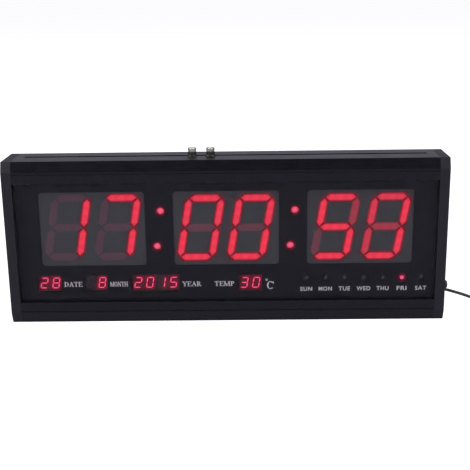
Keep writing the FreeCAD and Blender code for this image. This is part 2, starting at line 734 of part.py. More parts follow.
def button(y):
    """A domed push button with a retaining flange inside the cap and a stem behind it."""
    tip = WIDTH / 2 + BUTTON_PROUD
    barrel = rod(BUTTON_R, (FLANGE_X, y, BUTTON_Z), tip - FLANGE_X, (1, 0, 0))
    crown = [e for e in barrel.Edges if e.BoundBox.XMin > tip - 0.01]
    barrel = barrel.makeFillet(BUTTON_CROWN_R, crown)
    flange = rod(BUTTON_FLANGE_R, (FLANGE_X, y, BUTTON_Z), BUTTON_FLANGE, (1, 0, 0))
    stem_start = SWITCH_TOP_X + PLUNGER_LONG
    stem = rod(STEM_R, (stem_start, y, BUTTON_Z), FLANGE_X - stem_start, (1, 0, 0))
    return barrel.fuse([flange, stem]).removeSplitter()


def plunger(y):
    """The moving pin of a key switch, under the button's stem and clear of the switch's well."""
    return rod(1.5, (SWITCH_TOP_X + 0.1 - BUTTON_TRAVEL, y, BUTTON_Z),
               PLUNGER_LONG - 0.1 + BUTTON_TRAVEL, (1, 0, 0))


def key_board():
    """The small board behind the buttons, staked to the cap."""
    board = box(KEY_BOARD_X, KEY_BOARD_X + BOARD_THICK, *KEY_BOARD_Y, *KEY_BOARD_Z)
    return board.cut([rod(1.1, (KEY_BOARD_X - 1, y, STAKE_Z), 4, (1, 0, 0)) for y in STAKE_Y])


def key_switches():
    """Three square tactile switches, each with a well for its plunger."""
    made = []
    x0 = KEY_BOARD_X + BOARD_THICK
    half = SWITCH_SIDE / 2
    for y in BUTTON_Y.values():
        block = box(x0, SWITCH_TOP_X, y - half, y + half, BUTTON_Z - half, BUTTON_Z + half)
        made.append(block.cut(rod(1.7, (x0 + 0.6, y, BUTTON_Z), SWITCH_HIGH, (1, 0, 0))))
    return compound(made)


# ---- leads ----

def tube(route, radius):
    """A round lead along straight runs joined by tangent arcs, each as large as its runs allow."""
    points = [V(*p) for p in route]
    edges, radii, start = [], [], points[0]
    for before, corner, after in zip(points, points[1:], points[2:]):
        arrive = (corner - before).normalize()
        leave = (after - corner).normalize()
        half_turn = arrive.getAngle(leave) / 2
        back = 0.45 * min((corner - before).Length, (after - corner).Length)
        radii.append(back / tan(half_turn))
        first, last = corner - arrive * back, corner + leave * back
        inward = (leave - arrive).normalize()
        middle = corner + inward * (radii[-1] / cos(half_turn) - radii[-1])
        edges.append(Part.LineSegment(start, first).toShape())
        edges.append(Part.Arc(first, middle, last).toShape())
        start = last
    edges.append(Part.LineSegment(start, points[-1]).toShape())
    path = Part.Wire(edges)
    section = Part.Wire([Part.Circle(points[0], (points[1] - points[0]).normalize(), radius).toShape()])
    made = path.makePipeShell([section], True, False)
    print("arc radii", [round(r, 1) for r in radii], "length", round(path.Length, 1),
          "volume over section times length", round(made.Volume / (pi * radius ** 2 * path.Length), 4))
    return made


def strain_relief():
    """The flanged bush in the cap with a short tapered nose round the lead."""
    at = WIDTH / 2
    flange = rod(4.0, (at + 0.05, RELIEF_Y, RELIEF_Z), 1.35, (1, 0, 0))
    neck = rod(3.0, (INNER_WALL_X - 1.6, RELIEF_Y, RELIEF_Z), 6.0, (1, 0, 0))
    catch = rod(3.7, (INNER_WALL_X - 1.6, RELIEF_Y, RELIEF_Z), 1.5, (1, 0, 0))
    nose = Part.makeCone(3.2, 2.4, RELIEF_TIP_X - at - 1.4, V(at + 1.4, RELIEF_Y, RELIEF_Z), V(1, 0, 0))
    bore = rod(LEAD_R + 0.1, (INNER_WALL_X - 2, RELIEF_Y, RELIEF_Z), 12, (1, 0, 0))
    return neck.fuse([flange, catch, nose]).cut(bore).removeSplitter()


def power_lead():
    """The lead inside the case, from the tip of the strain relief to the supply socket."""
    route = [(RELIEF_TIP_X, RELIEF_Y, RELIEF_Z), (223.2, RELIEF_Y, RELIEF_Z), (221.8, 8.4, 37.0),
             (212.0, 8.0, 43.6), (HEADER_X, BOARD_REAR + 2.1, HEADER_Z["power"])]
    return tube(route, INNER_LEAD_R)


def key_cable():
    """The thin lead from the key board to its socket on the main board."""
    route = [(KEY_BOARD_X, 8.0, 44.0), (219.0, 8.4, 45.0), (210.5, 8.0, 53.0),
             (HEADER_X, BOARD_REAR + 2.1, HEADER_Z["keys"])]
    return tube(route, KEY_CABLE_R)


def lead_coil():
    """The outer shape of the put-away turns: a rounded ring lying on the surface."""
    inner, outer = COIL_MEAN_R - COIL_HALF_WIDE, COIL_MEAN_R + COIL_HALF_WIDE
    base = (*COIL_CENTRE, 0)
    ring = rod(outer, base, COIL_HIGH, (0, 0, 1)).cut(rod(inner, base, COIL_HIGH, (0, 0, 1)))
    rims = [e for e in ring.Edges if e.Curve.TypeId == "Part::GeomCircle"]
    return ring.makeFillet(LEAD_R, rims)


# ---- adapter ----

def adapter_half(low, high):
    """One moulded half of the adapter's box, between two heights, with rounded upright edges."""
    long, wide, _ = ADAPTER_SIZE
    block = box(ADAPTER_X, ADAPTER_X + long, ADAPTER_Y - wide / 2, ADAPTER_Y + wide / 2, low, high)
    upright = [e for e in block.Edges if abs(e.tangentAt(e.FirstParameter).z) > 0.9]
    return block.makeFillet(ADAPTER_CORNER_R, upright)


def rounded_face(block, z):
    """Softens the edges round the face at height z."""
    return block.makeFillet(ADAPTER_RIM_R, [e for e in block.Edges if abs(e.BoundBox.ZMin - z) < 0.01
                                            and abs(e.BoundBox.ZMax - z) < 0.01])


def relief_hole():
    """Where the adapter's halves close round its strain relief."""
    return rod(2.6, (ADAPTER_X - 1, ADAPTER_Y, ADAPTER_RELIEF_Z), 5, (1, 0, 0))


def adapter_base():
    """The lower half of the adapter, which lies on the surface."""
    half = rounded_face(adapter_half(0, ADAPTER_RELIEF_Z), 0)
    hollow = box(ADAPTER_X + 4, ADAPTER_X + ADAPTER_SIZE[0] - 2, ADAPTER_Y - 17, ADAPTER_Y + 17,
                 2, ADAPTER_RELIEF_Z)
    return half.cut([relief_hole(), hollow])


def blade_places():
    """Where the two blades stand, as (x, y)."""
    x = ADAPTER_X + ADAPTER_SIZE[0] - 16
    return [(x, ADAPTER_Y + side * BLADE_GAP / 2) for side in (-1, 1)]


def adapter_lid():
    """The upper half of the adapter, which holds the blades."""
    top = ADAPTER_SIZE[2]
    half = rounded_face(adapter_half(ADAPTER_RELIEF_Z, top), top)
    hollow = box(ADAPTER_X + 4, ADAPTER_X + ADAPTER_SIZE[0] - 2, ADAPTER_Y - 17, ADAPTER_Y + 17,
                 ADAPTER_RELIEF_Z, top - 2.5)
    slots = [box(x - 3.2, x + 3.2, y - 0.8, y + 0.8, top - 3, top) for x, y in blade_places()]
    return half.cut([relief_hole(), hollow] + slots)


def adapter_blades():
    """The two flat mains blades."""
    thick, wide, long = BLADE_SIZE
    made = []
    for x, y in blade_places():
        blade = box(x - wide / 2, x + wide / 2, y - thick / 2, y + thick / 2,
                    ADAPTER_SIZE[2] - 8, ADAPTER_SIZE[2] + long)
        tip = [e for e in blade.Edges if e.BoundBox.ZMin > ADAPTER_SIZE[2] + long - 0.01]
        made.append(blade.makeChamfer(0.5, tip))
    return compound(made)


def adapter_relief():
    """The tapered relief where the lead goes into the adapter."""
    start = TAIL_ROUTE[-1][0]
    nose = Part.makeCone(2.0, 2.5, ADAPTER_X - start, V(start, ADAPTER_Y, ADAPTER_RELIEF_Z), V(1, 0, 0))
    return nose.fuse(rod(2.5, (ADAPTER_X, ADAPTER_Y, ADAPTER_RELIEF_Z), 4.0, (1, 0, 0))).removeSplitter()


def all_nodes():
    """Every sub-part by name."""
    nodes = {
        "top_rail": top_rail(), "bottom_rail": bottom_rail(),
        "left_end_cap": left_end_cap(), "right_end_cap": right_end_cap(), "cap_screws": cap_screws(),
        "front_lens": front_lens(), "legend_mask": legend_mask(), "rear_cover": rear_cover(),
        "small_segments": small_segments(), "colon_leds": colon_leds(), "weekday_leds": weekday_leds(),
        "main_board": main_board(), "microcontroller": microcontroller(), "clock_chip": clock_chip(),
        "segment_drivers": segment_drivers(), "resistor_networks": resistor_networks(),
        "crystal": crystal(), "capacitors": capacitors(), "voltage_regulator": voltage_regulator(),
        "buzzer": buzzer(), "battery_holder": battery_holder(), "backup_cell": backup_cell(),
        "temperature_sensor": temperature_sensor(), "board_headers": board_headers(),
        "board_standoffs": board_standoffs(), "board_screws": board_screws(),
        "key_board": key_board(), "key_switches": key_switches(), "key_cable": key_cable(),
        "power_lead": power_lead(), "strain_relief": strain_relief(),
        "dc_lead": tube(LEAD_ROUTE, LEAD_R), "dc_lead_coil": lead_coil(),
        "dc_lead_tail": tube(TAIL_ROUTE, LEAD_R), "adapter_relief": adapter_relief(),
        "adapter_base": adapter_base(), "adapter_lid": adapter_lid(), "adapter_blades": adapter_blades(),
    }
    for name in WINDOW_X:
        nodes[name + "_display"] = big_case(name)
        nodes[name + "_segments"] = compound(big_bars(name))
    for name in SMALL_ROW:
        nodes[name + "_display"] = small_case(name)
    for name, y in BUTTON_Y.items():
        nodes[name + "_button"] = button(y)
        nodes[name + "_plunger"] = plunger(y)
    for side, x in HANGER_X.items():
        nodes[side + "_hanger_bolt"] = hanger_bolt(x)
        nodes[side + "_hanger_washer"] = hanger_washer(x)
        nodes[side + "_hanger_nuts"] = hanger_nuts(x)
    return nodes


os.makedirs("parts", exist_ok=True)
for name, shape in all_nodes().items():
    shape.exportStep("parts/" + name + ".step")
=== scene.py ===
"""The looks of an LED wall and desk calendar clock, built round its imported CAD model.

Metres, in the CAD model's frame: the display faces -Y, and the buttons and the lead are at +X."""
import json
import bmesh
import bpy
from math import atan2, cos, exp, hypot, pi, radians, sin, tan
from mathutils import Matrix, Vector


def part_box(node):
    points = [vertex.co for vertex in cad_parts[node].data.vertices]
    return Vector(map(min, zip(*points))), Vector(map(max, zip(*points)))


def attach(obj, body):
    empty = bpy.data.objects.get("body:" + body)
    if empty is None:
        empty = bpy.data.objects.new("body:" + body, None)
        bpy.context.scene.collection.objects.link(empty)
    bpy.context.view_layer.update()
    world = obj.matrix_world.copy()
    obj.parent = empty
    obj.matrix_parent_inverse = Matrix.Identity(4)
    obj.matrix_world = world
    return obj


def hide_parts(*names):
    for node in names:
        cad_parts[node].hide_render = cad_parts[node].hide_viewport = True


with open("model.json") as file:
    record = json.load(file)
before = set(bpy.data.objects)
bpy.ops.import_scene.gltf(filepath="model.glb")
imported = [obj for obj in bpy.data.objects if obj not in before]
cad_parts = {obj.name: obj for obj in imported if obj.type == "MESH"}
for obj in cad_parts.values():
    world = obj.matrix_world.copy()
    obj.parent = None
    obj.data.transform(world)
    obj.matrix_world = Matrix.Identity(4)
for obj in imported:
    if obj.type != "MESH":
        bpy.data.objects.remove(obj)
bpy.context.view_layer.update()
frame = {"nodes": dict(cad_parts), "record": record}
MM = 0.001
CASE = "case"

# ---- camera ----
CAMERA_AT = (0.0239, -0.9830, 0.3668)
CAMERA_PITCH = radians(15.587)
CAMERA_YAW = radians(-0.831)
CAMERA_ROLL = radians(-0.778)
CAMERA_LENS = 70.18
CAMERA_SENSOR = 36.0

# ---- lead ----
LEAD_WIDE = 0.0034
LEAD_ROUTE = [
    (0.247, 0.007, 0.0244),
    (0.255, 0.007, 0.0222),
    (0.269, 0.00705, 0.0177),
    (0.285, 0.0073, 0.0115),
    (0.300, 0.0077, 0.0052),
    (0.316, 0.0082, 0.0019),
    (0.3305, 0.00775, 0.0017),
]
TAIL_ROUTE = [
    (0.3305, 0.00775, 0.01205),
    (0.3375, 0.0079, 0.01215),
    (0.345, 0.0092, 0.0123),
    (0.352, 0.0098, 0.0124),
]
COIL_CENTRE = (0.3305, 0.03205)
COIL_OUTER = 0.0243
COIL_INNER = 0.0135
COIL_LAYERS = 4
COIL_LAYER_TURNS = 3
COIL_LAYER_RISE = 0.00345
COIL_STEP_UP = 0.25
COIL_POINTS = 16

# ---- digits: width and half height between bar centres, bar width, gap, distance between digits ----
SLANT = tan(radians(10.0))
BIG_DIGIT = {"wide": 34.9 * MM, "half_tall": 33.1 * MM, "bar": 8.6 * MM, "gap": 1.3 * MM, "pitch": 54.75 * MM,
             "hot_spots": 3}
SMALL_DIGIT = {"wide": 6.7 * MM, "half_tall": 5.7 * MM, "bar": 1.3 * MM, "gap": 0.25 * MM, "pitch": 13.1 * MM,
               "hot_spots": 1}
BAR_ENDS = ("tl tr", "mr tr", "br mr", "bl br", "bl ml", "ml tl", "ml mr")
BAR_LETTERS = "abcdefg"
LIT_BARS = {"0": "abcdef", "1": "bc", "2": "abdeg", "3": "abcdg", "5": "acdfg", "7": "abc", "8": "abcdefg",
            " ": ""}
SHOWN = {"hour": "17", "minute": "00", "second": "50", "date": "28", "month": " 8", "year": "2015",
         "temperature": "30"}
DIM_BARS = {("minute", 0, "g"): 0.05, ("minute", 1, "g"): 0.05, ("second", 0, "b"): 0.34,
            ("second", 0, "e"): 0.08, ("second", 1, "a"): 0.85, ("second", 1, "e"): 0.62,
            ("second", 1, "f"): 0.80, ("second", 1, "g"): 0.36}
BIG_NAMES = ("hour", "minute", "second")
SMALL_NAMES = ("date", "month", "year", "temperature")

# ---- round lamps ----
COLON_X = (-73.2 * MM, 72.8 * MM)
COLON_RISE = 19.9 * MM
COLON_LEAN = 0.69
COLON_R = 4.4 * MM
COLON_HOLE_R = 3.9 * MM
WEEKDAY_X = 88.4 * MM
WEEKDAY_PITCH = 21.1 * MM
WEEKDAY_R = 3.5 * MM
LIT_DAY = 5

# ---- printed legends: text, left and right ends, middle height, height of the capitals ----
SERIF_LEGENDS = (
    ("DATE", -180.6 * MM, -160.2 * MM, 42.8 * MM, 5.6 * MM),
    ("MONTH", -129.5 * MM, -109.6 * MM, 42.6 * MM, 5.6 * MM),
    ("YEAR", -49.2 * MM, -27.7 * MM, 42.2 * MM, 5.6 * MM),
    ("TEMP", -13.6 * MM, 8.9 * MM, 42.2 * MM, 5.6 * MM),
    ("C", 44.2 * MM, 52.3 * MM, 39.9 * MM, 9.2 * MM),
)
DEGREE_RING = (44.3 * MM, 46.2 * MM, 1.2 * MM)
WEEKDAYS = ("SUN", "MON", "TUE", "WED", "THU", "FRI", "SAT")
WEEKDAY_LABEL_X = 88.1 * MM
WEEKDAY_LABEL_Z = 35.2 * MM
WEEKDAY_CAP = 4.8 * MM
WEEKDAY_WIDTHS = [w * MM for w in (13.2, 14.6, 12.6, 15.2, 13.4, 10.8, 12.4)]


def linear(red, green, blue):
    """A screen colour, 0 to 255 each, as the light values that shaders take."""
    shares = (red / 255, green / 255, blue / 255)
    return tuple(c / 12.92 if c < 0.0404 else ((c + 0.055) / 1.055) ** 2.4 for c in shares)


# ---- camera, lead ----

def make_camera():
    """A long lens a metre in front of the clock and a little above it."""
    data = bpy.data.cameras.new("camera")
    data.lens = CAMERA_LENS
    data.sensor_width = CAMERA_SENSOR
    camera = bpy.data.objects.new("camera", data)
    bpy.context.scene.collection.objects.link(camera)
    reach = cos(CAMERA_PITCH)
    forward = Vector((sin(CAMERA_YAW) * reach, cos(CAMERA_YAW) * reach, -sin(CAMERA_PITCH)))
    level = Vector((cos(CAMERA_YAW), -sin(CAMERA_YAW), 0))
    above = level.cross(forward)
    right = level * cos(CAMERA_ROLL) + above * sin(CAMERA_ROLL)
    up = above * cos(CAMERA_ROLL) - level * sin(CAMERA_ROLL)
    turn = Matrix((right, up, -forward)).transposed().to_4x4()
    camera.matrix_world = Matrix.Translation(CAMERA_AT) @ turn
    bpy.context.scene.camera = camera


def coil_points():
    """The put-away turns: layers wound inwards and outwards by turns, each lying on the one below."""
    made = []
    for k in range(1, round(COIL_LAYERS * COIL_LAYER_TURNS * COIL_POINTS)):
        turns = k / COIL_POINTS
        layer = int(turns / COIL_LAYER_TURNS)
        share = turns / COIL_LAYER_TURNS - layer
        inwards = COIL_OUTER + (COIL_INNER - COIL_OUTER) * share
        radius = inwards if layer % 2 == 0 else COIL_OUTER + COIL_INNER - inwards
        climb = min(1.0, share * COIL_LAYER_TURNS / COIL_STEP_UP) if layer else 1.0
        angle = 2 * pi * turns - pi / 2
        made.append((COIL_CENTRE[0] + radius * cos(angle), COIL_CENTRE[1] + radius * sin(angle),
                     LEAD_ROUTE[-1][2] + (max(layer - 1, 0) + climb * (layer > 0)) * COIL_LAYER_RISE))
    return made


def make_lead():
    """The whole low-voltage lead as one line: out of the case, down, round its coil, up to the adapter."""
    curve = bpy.data.curves.new("power_cord", "CURVE")
    curve.dimensions = "3D"
    curve.bevel_depth = LEAD_WIDE / 2
    curve.bevel_resolution = 4
    curve.resolution_u = 6
    points = LEAD_ROUTE + coil_points() + TAIL_ROUTE
    spline = curve.splines.new("NURBS")
    spline.points.add(len(points) - 1)
    for point, place in zip(spline.points, points):
        point.co = (*place, 1)
    spline.order_u = 3
    spline.use_endpoint_u = True
    lead = bpy.data.objects.new("power_cord", curve)
    bpy.context.scene.collection.objects.link(lead)
    return lead


# ---- building blocks ----

def ring_part(rings, values=None, ends=True, loop=False):
    """A skin over rings of as many points each: closed at both ends, open, or joined end to end."""
    count = len(rings[0])
    faces = []
    for k in range(len(rings) if loop else len(rings) - 1):
        start, after = k * count, (k + 1) % len(rings) * count
        for j in range(count):
            beside = (j + 1) % count
            faces.append((start + j, start + beside, after + beside, after + j))
    if ends and not loop:
        faces.append(tuple(reversed(range(count))))
        faces.append(tuple(range((len(rings) - 1) * count, len(rings) * count)))
    return {"points": [p for ring in rings for p in ring], "faces": faces, "values": values or {}}


def turned(profile, at, axis, count=32, values=None, loop=False):
    """A turned body: (radius, distance) pairs swept round an axis that starts at a point."""
    axis = Vector(axis).normalized()
    side = axis.orthogonal().normalized()
    other = axis.cross(side)
    rings = []
    for radius, along in profile:
        centre = Vector(at) + axis * along
        rings.append([centre + (side * cos(2 * pi * j / count) + other * sin(2 * pi * j / count)) * radius
                      for j in range(count)])
    spread = {name: [v for v in per_ring for _ in range(count)] for name, per_ring in (values or {}).items()}
    return ring_part(rings, spread, loop=loop)


def piece(name, parts, material, body=CASE, stands_for=(), flat_above=40):
    """One object made of separate parts, riding on a body of the CAD model."""
    points, faces, values = [], [], {}
    for part in parts:
        start = len(points)
        for key, numbers in part.get("values", {}).items():
            values.setdefault(key, [0.0] * start).extend(numbers)
        points += [tuple(p) for p in part["points"]]
        faces += [tuple(start + i for i in face) for face in part["faces"]]
        for numbers in values.values():
            numbers.extend([0.0] * (len(points) - len(numbers)))
    mesh = bpy.data.meshes.new(name)
    mesh.from_pydata(points, [], faces)
    for key, numbers in values.items():
        mesh.attributes.new(key, "FLOAT", "POINT").data.foreach_set("value", numbers)
    rounded = bmesh.new()
    rounded.from_mesh(mesh)
    bmesh.ops.recalc_face_normals(rounded, faces=rounded.faces)
    rounded.to_mesh(mesh)
    rounded.free()
    mesh.shade_smooth()
    mesh.set_sharp_from_angle(angle=radians(flat_above))
    mesh.materials.append(material)
    made = bpy.data.objects.new(name, mesh)
    bpy.context.scene.collection.objects.link(made)
    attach(made, body)
    if stands_for:
        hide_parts(*stands_for)
    return made


# ---- material building blocks ----

def node(tree, kind, inputs=None, **options):
    """Adds a node, sets its options, and fills or links its inputs."""
    made = tree.nodes.new("ShaderNode" + kind)
    for name, value in options.items():
        setattr(made, name, value)
    for name, value in (inputs or {}).items():
        if isinstance(value, bpy.types.NodeSocket):
            tree.links.new(value, made.inputs[name])
        else:
            made.inputs[name].default_value = value
    return made


def start_material(name, values):
    """A material with the given plain values on its main shader."""
    made = bpy.data.materials.new(name)
    made.use_nodes = True
    shader = made.node_tree.nodes["Principled BSDF"]
    for socket, value in values.items():
        shader.inputs[socket].default_value = value
    return made, made.node_tree, shader


def grain(tree, per_metre, stretch=(1, 1, 1), detail=3.0, rough=0.6):
    """Noise fixed to the object, with about so many grains to the metre."""
    place = node(tree, "TexCoord").outputs["Object"]
    scaled = node(tree, "Mapping", {"Vector": place, "Scale": stretch}).outputs[0]
    values = {"Vector": scaled, "Scale": per_metre, "Detail": detail, "Roughness": rough}
    return node(tree, "TexNoise", values).outputs[0]


def between(tree, factor, low, high, start=0.3, end=0.7):
    """A number that follows a factor between two values."""
    return node(tree, "MapRange", {"Value": factor, "From Min": start, "From Max": end, "To Min": low,
                                   "To Max": high}).outputs[0]


def blended(tree, factor, first, second):
    """A colour between two colours or sockets, by a factor."""
    mix = node(tree, "Mix", {0: factor}, data_type="RGBA")
    for index, colour in ((6, first), (7, second)):
        if isinstance(colour, bpy.types.NodeSocket):
            tree.links.new(colour, mix.inputs[index])
        else:
            mix.inputs[index].default_value = (*colour, 1)
    return mix.outputs[2]


def surface(name, dark, light, rough, per_metre, bump, stretch=(1, 1, 1), values=None):
    """A finish with a grain that varies its colour, its gloss and its height."""
    made, tree, shader = start_material(name, values or {})
    fine = grain(tree, per_metre, stretch)
    broad = grain(tree, 35, detail=2.0)
    mixed = node(tree, "Math", {0: fine, 1: broad}, operation="MULTIPLY").outputs[0]
    tree.links.new(blended(tree, between(tree, fine, 0, 1), dark, light), shader.inputs["Base Color"])
    tree.links.new(between(tree, mixed, rough[0], rough[1], 0.12, 0.4), shader.inputs["Roughness"])
    height = node(tree, "Bump", {"Height": fine, "Strength": 0.6, "Distance": bump})
    tree.links.new(height.outputs[0], shader.inputs["Normal"])
    return made


def lens_material():
    """Clear acrylic: mostly see-through, with a mirror-smooth face and a faint haze."""
    values = {"Base Color": (0.004, 0.004, 0.005, 1), "Alpha": 0.14, "IOR": 1.9, "Roughness": 0.06}
    made, tree, shader = start_material("clear_acrylic", values)
    haze = grain(tree, 60, detail=2.0)
    tree.links.new(between(tree, haze, 0.05, 0.07), shader.inputs["Roughness"])
    made.surface_render_method = "BLENDED"
    return made


def bar_material(name, off, on, light, strength):
    """A diffusing light bar: dull when off, glowing by its level, brighter over its hidden lamps."""
    made, tree, shader = start_material(name, {"Roughness": 0.42, "Emission Strength": strength})
    level = node(tree, "Attribute", attribute_name="level").outputs["Fac"]
    hot = node(tree, "Attribute", attribute_name="hot").outputs["Fac"]
    speck = between(tree, grain(tree, 2500), 0.93, 1.07)
    spread = node(tree, "Math", {0: hot, 1: speck}, operation="MULTIPLY").outputs[0]
    glow = node(tree, "Math", {0: level, 1: spread}, operation="MULTIPLY").outputs[0]
    tree.links.new(blended(tree, level, off, on), shader.inputs["Base Color"])
    tree.links.new(blended(tree, glow, (0, 0, 0), light), shader.inputs["Emission Color"])
    bump = node(tree, "Bump", {"Height": grain(tree, 2500), "Strength": 0.3, "Distance": 0.02 * MM})
    tree.links.new(bump.outputs[0], shader.inputs["Normal"])
    return made


def glow_material(name, deep, bright):
    """Light spilled round a lit lamp: clear where its glow is nought, then deep red, then bright."""
    made, tree, shader = start_material(name, {})
    tree.nodes.remove(shader)
    glow = node(tree, "Attribute", attribute_name="glow").outputs["Fac"]
    speck = between(tree, grain(tree, 900), 0.95, 1.05)
    share = node(tree, "Math", {0: glow, 1: speck}, operation="MULTIPLY").outputs[0]
    cover = between(tree, share, 0.0, 1.0, 0.0, 0.6)
    clear = node(tree, "BsdfTransparent").outputs[0]
    colour = blended(tree, between(tree, share, 0, 1, 0.5, 1.0), deep, bright)
    shine = node(tree, "Emission", {"Color": colour}).outputs[0]
    mix = node(tree, "MixShader", {0: cover, 1: clear, 2: shine}).outputs[0]
    tree.links.new(mix, tree.nodes["Material Output"].inputs["Surface"])
    made.surface_render_method = "BLENDED"
    return made


def board_material():
    """Black solder mask over copper tracks that run both ways."""
    made, tree, shader = start_material("circuit_board", {"Roughness": 0.3, "Coat Weight": 0.3})
    place = node(tree, "TexCoord").outputs["Object"]
    turned_place = node(tree, "Mapping", {"Vector": place, "Rotation": (radians(90), 0, 0)}).outputs[0]
    bricks = node(tree, "TexBrick", {"Vector": turned_place, "Scale": 55.0, "Mortar Size": 0.03,
                                     "Color1": (0, 0, 0, 1), "Color2": (0.25, 0.25, 0.25, 1),
                                     "Mortar": (1, 1, 1, 1)}).outputs[0]
    colour = blended(tree, bricks, (0.003, 0.004, 0.004), (0.012, 0.019, 0.016))
    tree.links.new(colour, shader.inputs["Base Color"])
    bump = node(tree, "Bump", {"Height": bricks, "Strength": 0.5, "Distance": 0.04 * MM})
    tree.links.new(bump.outputs[0], shader.inputs["Normal"])
    return made


def metal(name, dark, light, rough, stretch=(1, 1, 1)):
    """A metal with fine tool marks and faint staining."""
    return surface(name, dark, light, rough, 900, 0.012 * MM, stretch, {"Metallic": 1.0})


# ---- finishes: name, darker and lighter colour, gloss range, grains to the metre, grain height ----
ALONG_CASE = (0.02, 1, 1)
ZINC = ((0.62, 0.62, 0.57), (0.84, 0.84, 0.78), (0.38, 0.58))
# Dark zinc for the hanger washers: colour darkened as painted shade.
PAINTED_SHADE_ZINC = ((0.07, 0.07, 0.06), (0.13, 0.13, 0.11), (0.4, 0.6))
# Colour of the lower hanger nut: dark zinc as painted shade.
PAINTED_SHADE_NUT = (0.10, 0.10, 0.085)
PLAIN_FINISHES = {
    "cover_black": ("black_powder_coat", (0.009, 0.009, 0.010), (0.018, 0.018, 0.020), (0.38, 0.5),
                    1100, 0.05 * MM),
    "display_grey": ("grey_display_face", (0.040, 0.042, 0.045), (0.050, 0.052, 0.056), (0.5, 0.6),
                     1500, 0.008 * MM),
    "display_red": ("dark_display_face", (0.014, 0.010, 0.013), (0.019, 0.014, 0.018), (0.4, 0.5),
                    1800, 0.006 * MM),
    "chip_black": ("chip_resin", (0.015, 0.015, 0.016), (0.028, 0.028, 0.03), (0.5, 0.65), 3000, 0.02 * MM),
    "holder_black": ("holder_nylon", (0.012, 0.012, 0.013), (0.03, 0.03, 0.032), (0.35, 0.5),
                     1500, 0.02 * MM),
    "header_white": ("header_nylon", (0.62, 0.58, 0.47), (0.75, 0.72, 0.62), (0.4, 0.5), 1200, 0.02 * MM),
    "resistor_yellow": ("dipped_resin", (0.50, 0.30, 0.03), (0.64, 0.42, 0.07), (0.2, 0.35),
                        500, 0.1 * MM),
    "capacitor_sleeve": ("shrink_sleeve", (0.01, 0.015, 0.05), (0.02, 0.03, 0.09), (0.2, 0.3),
                         900, 0.02 * MM),
    "button_black": ("button_rubber", (0.008, 0.008, 0.009), (0.016, 0.016, 0.017), (0.45, 0.6),
                     2500, 0.02 * MM),
    "rubber_black": ("relief_rubber", (0.010, 0.010, 0.011), (0.02, 0.02, 0.021), (0.5, 0.65),
                     2500, 0.03 * MM),
    "lead_black": ("lead_sleeve", (0.007, 0.007, 0.008), (0.014, 0.014, 0.015), (0.32, 0.45),
                   1800, 0.02 * MM),
    "adapter_black": ("adapter_moulding", (0.010, 0.010, 0.011), (0.022, 0.022, 0.024), (0.45, 0.6),
                      1600, 0.06 * MM),
}
MATERIALS = {slot: surface(*finish) for slot, finish in PLAIN_FINISHES.items()}
MATERIALS.update({
    "rail_black": surface("black_anodised", (0.0030, 0.0028, 0.0052), (0.0052, 0.0048, 0.0082), (0.25, 0.34),
                          2600, 0.010 * MM, ALONG_CASE, {"Specular IOR Level": 0.36}),
    "cap_black": surface("black_moulding", (0.0065, 0.0062, 0.0085), (0.0115, 0.011, 0.0140), (0.42, 0.52),
                         2200, 0.03 * MM, values={"Specular IOR Level": 0.38}),
    "mask_black": surface("black_print", (0.0024, 0.0022, 0.0044), (0.0028, 0.0026, 0.0050), (0.60, 0.61),
                          700, 0.001 * MM, values={"Specular IOR Level": 0.15}),
    "lens": lens_material(),
    "board_black": board_material(),
    "bar_red": bar_material("light_bar", linear(96, 66, 76), linear(150, 24, 42), linear(248, 52, 78), 1.06),
    "lamp_red": bar_material("round_lamp", linear(86, 84, 90), linear(190, 70, 100),
                             linear(245, 100, 150), 1.1),
    "bright_metal": metal("bright_nickel", (0.60, 0.59, 0.56), (0.74, 0.73, 0.70), (0.16, 0.3)),
    "zinc_steel": metal("zinc_plate", *ZINC),
    "black_screw": metal("black_oxide", (0.02, 0.02, 0.022), (0.05, 0.05, 0.052), (0.3, 0.45)),
    "brass": metal("plain_brass", (0.58, 0.42, 0.17), (0.74, 0.57, 0.27), (0.2, 0.35)),
})


def dress_cad_nodes():
    """Gives every CAD node the material of its slot in the record."""
    for entry in frame["record"]["subparts"]:
        shown = frame["nodes"][entry["node"]]
        shown.data.materials.clear()
        shown.data.materials.append(MATERIALS[entry["material_slot"]])


# ---- edges and hardware ----
EDGE_WIDTHS_MM = {"top_rail": 0.25, "bottom_rail": 0.25, "rear_cover": 0.2, "left_hanger_nuts": 0.3,
                  "right_hanger_nuts": 0.3, "adapter_base": 0.3, "adapter_lid": 0.3}
LOWER_NUT_THICK = 3.75 * MM
SEAM_BLUR = 0.1 * MM
CAP_PORTS = [(y * MM, z * MM) for y in (-12.5, 14.5) for z in (5.4, 176.8)]
CAP_SEAT_X = 237.4 * MM
CAP_SCREW_LONG = 22.0 * MM
BOARD_HOLES = [(x * MM, z * MM) for x in (-215.0, 0.0, 215.0) for z in (30.0, 153.2)]
BOARD_SCREW_LONG = 8.0 * MM
BOARD_FRONT = -7.3 * MM
COVER_BACK = 24.5 * MM
HEAD_R = 2.8 * MM
HEAD_RIM = 0.9 * MM
HEAD_TALL = 2.0 * MM
SHANK_R = 1.45 * MM
CROSS_LONG = 1.65 * MM
CROSS_HALF = 0.36 * MM
CROSS_DEEP = 1.2 * MM
CROSS_TAPER = 0.55
SHANK_TIP_R = 0.8 * SHANK_R
SHANK_POINT = 0.4 * MM
HEAD_FLAT_R = 0.38 * HEAD_R
DOME_TURN = radians(78)
DOME_RINGS = 4

# ---- strain relief ----
CAP_FACE = 240.0 * MM
BORE_GAP = 0.1 * MM
CATCH_R = 3.7 * MM
CATCH_LONG = 1.5 * MM
NECK_R = 3.0 * MM
FLANGE_R = 4.0 * MM
FLANGE_FROM = 0.05 * MM
FLANGE_TO = 1.4 * MM
FLANGE_ROUND = 0.2 * MM
NOSE_R = (3.2 * MM, 2.4 * MM)
RIBS = 4
RIB_POINTS = 8
RIB_DEEP = 0.28 * MM
RIB_MARGIN = 0.2
RELIEF_COUNT = 36


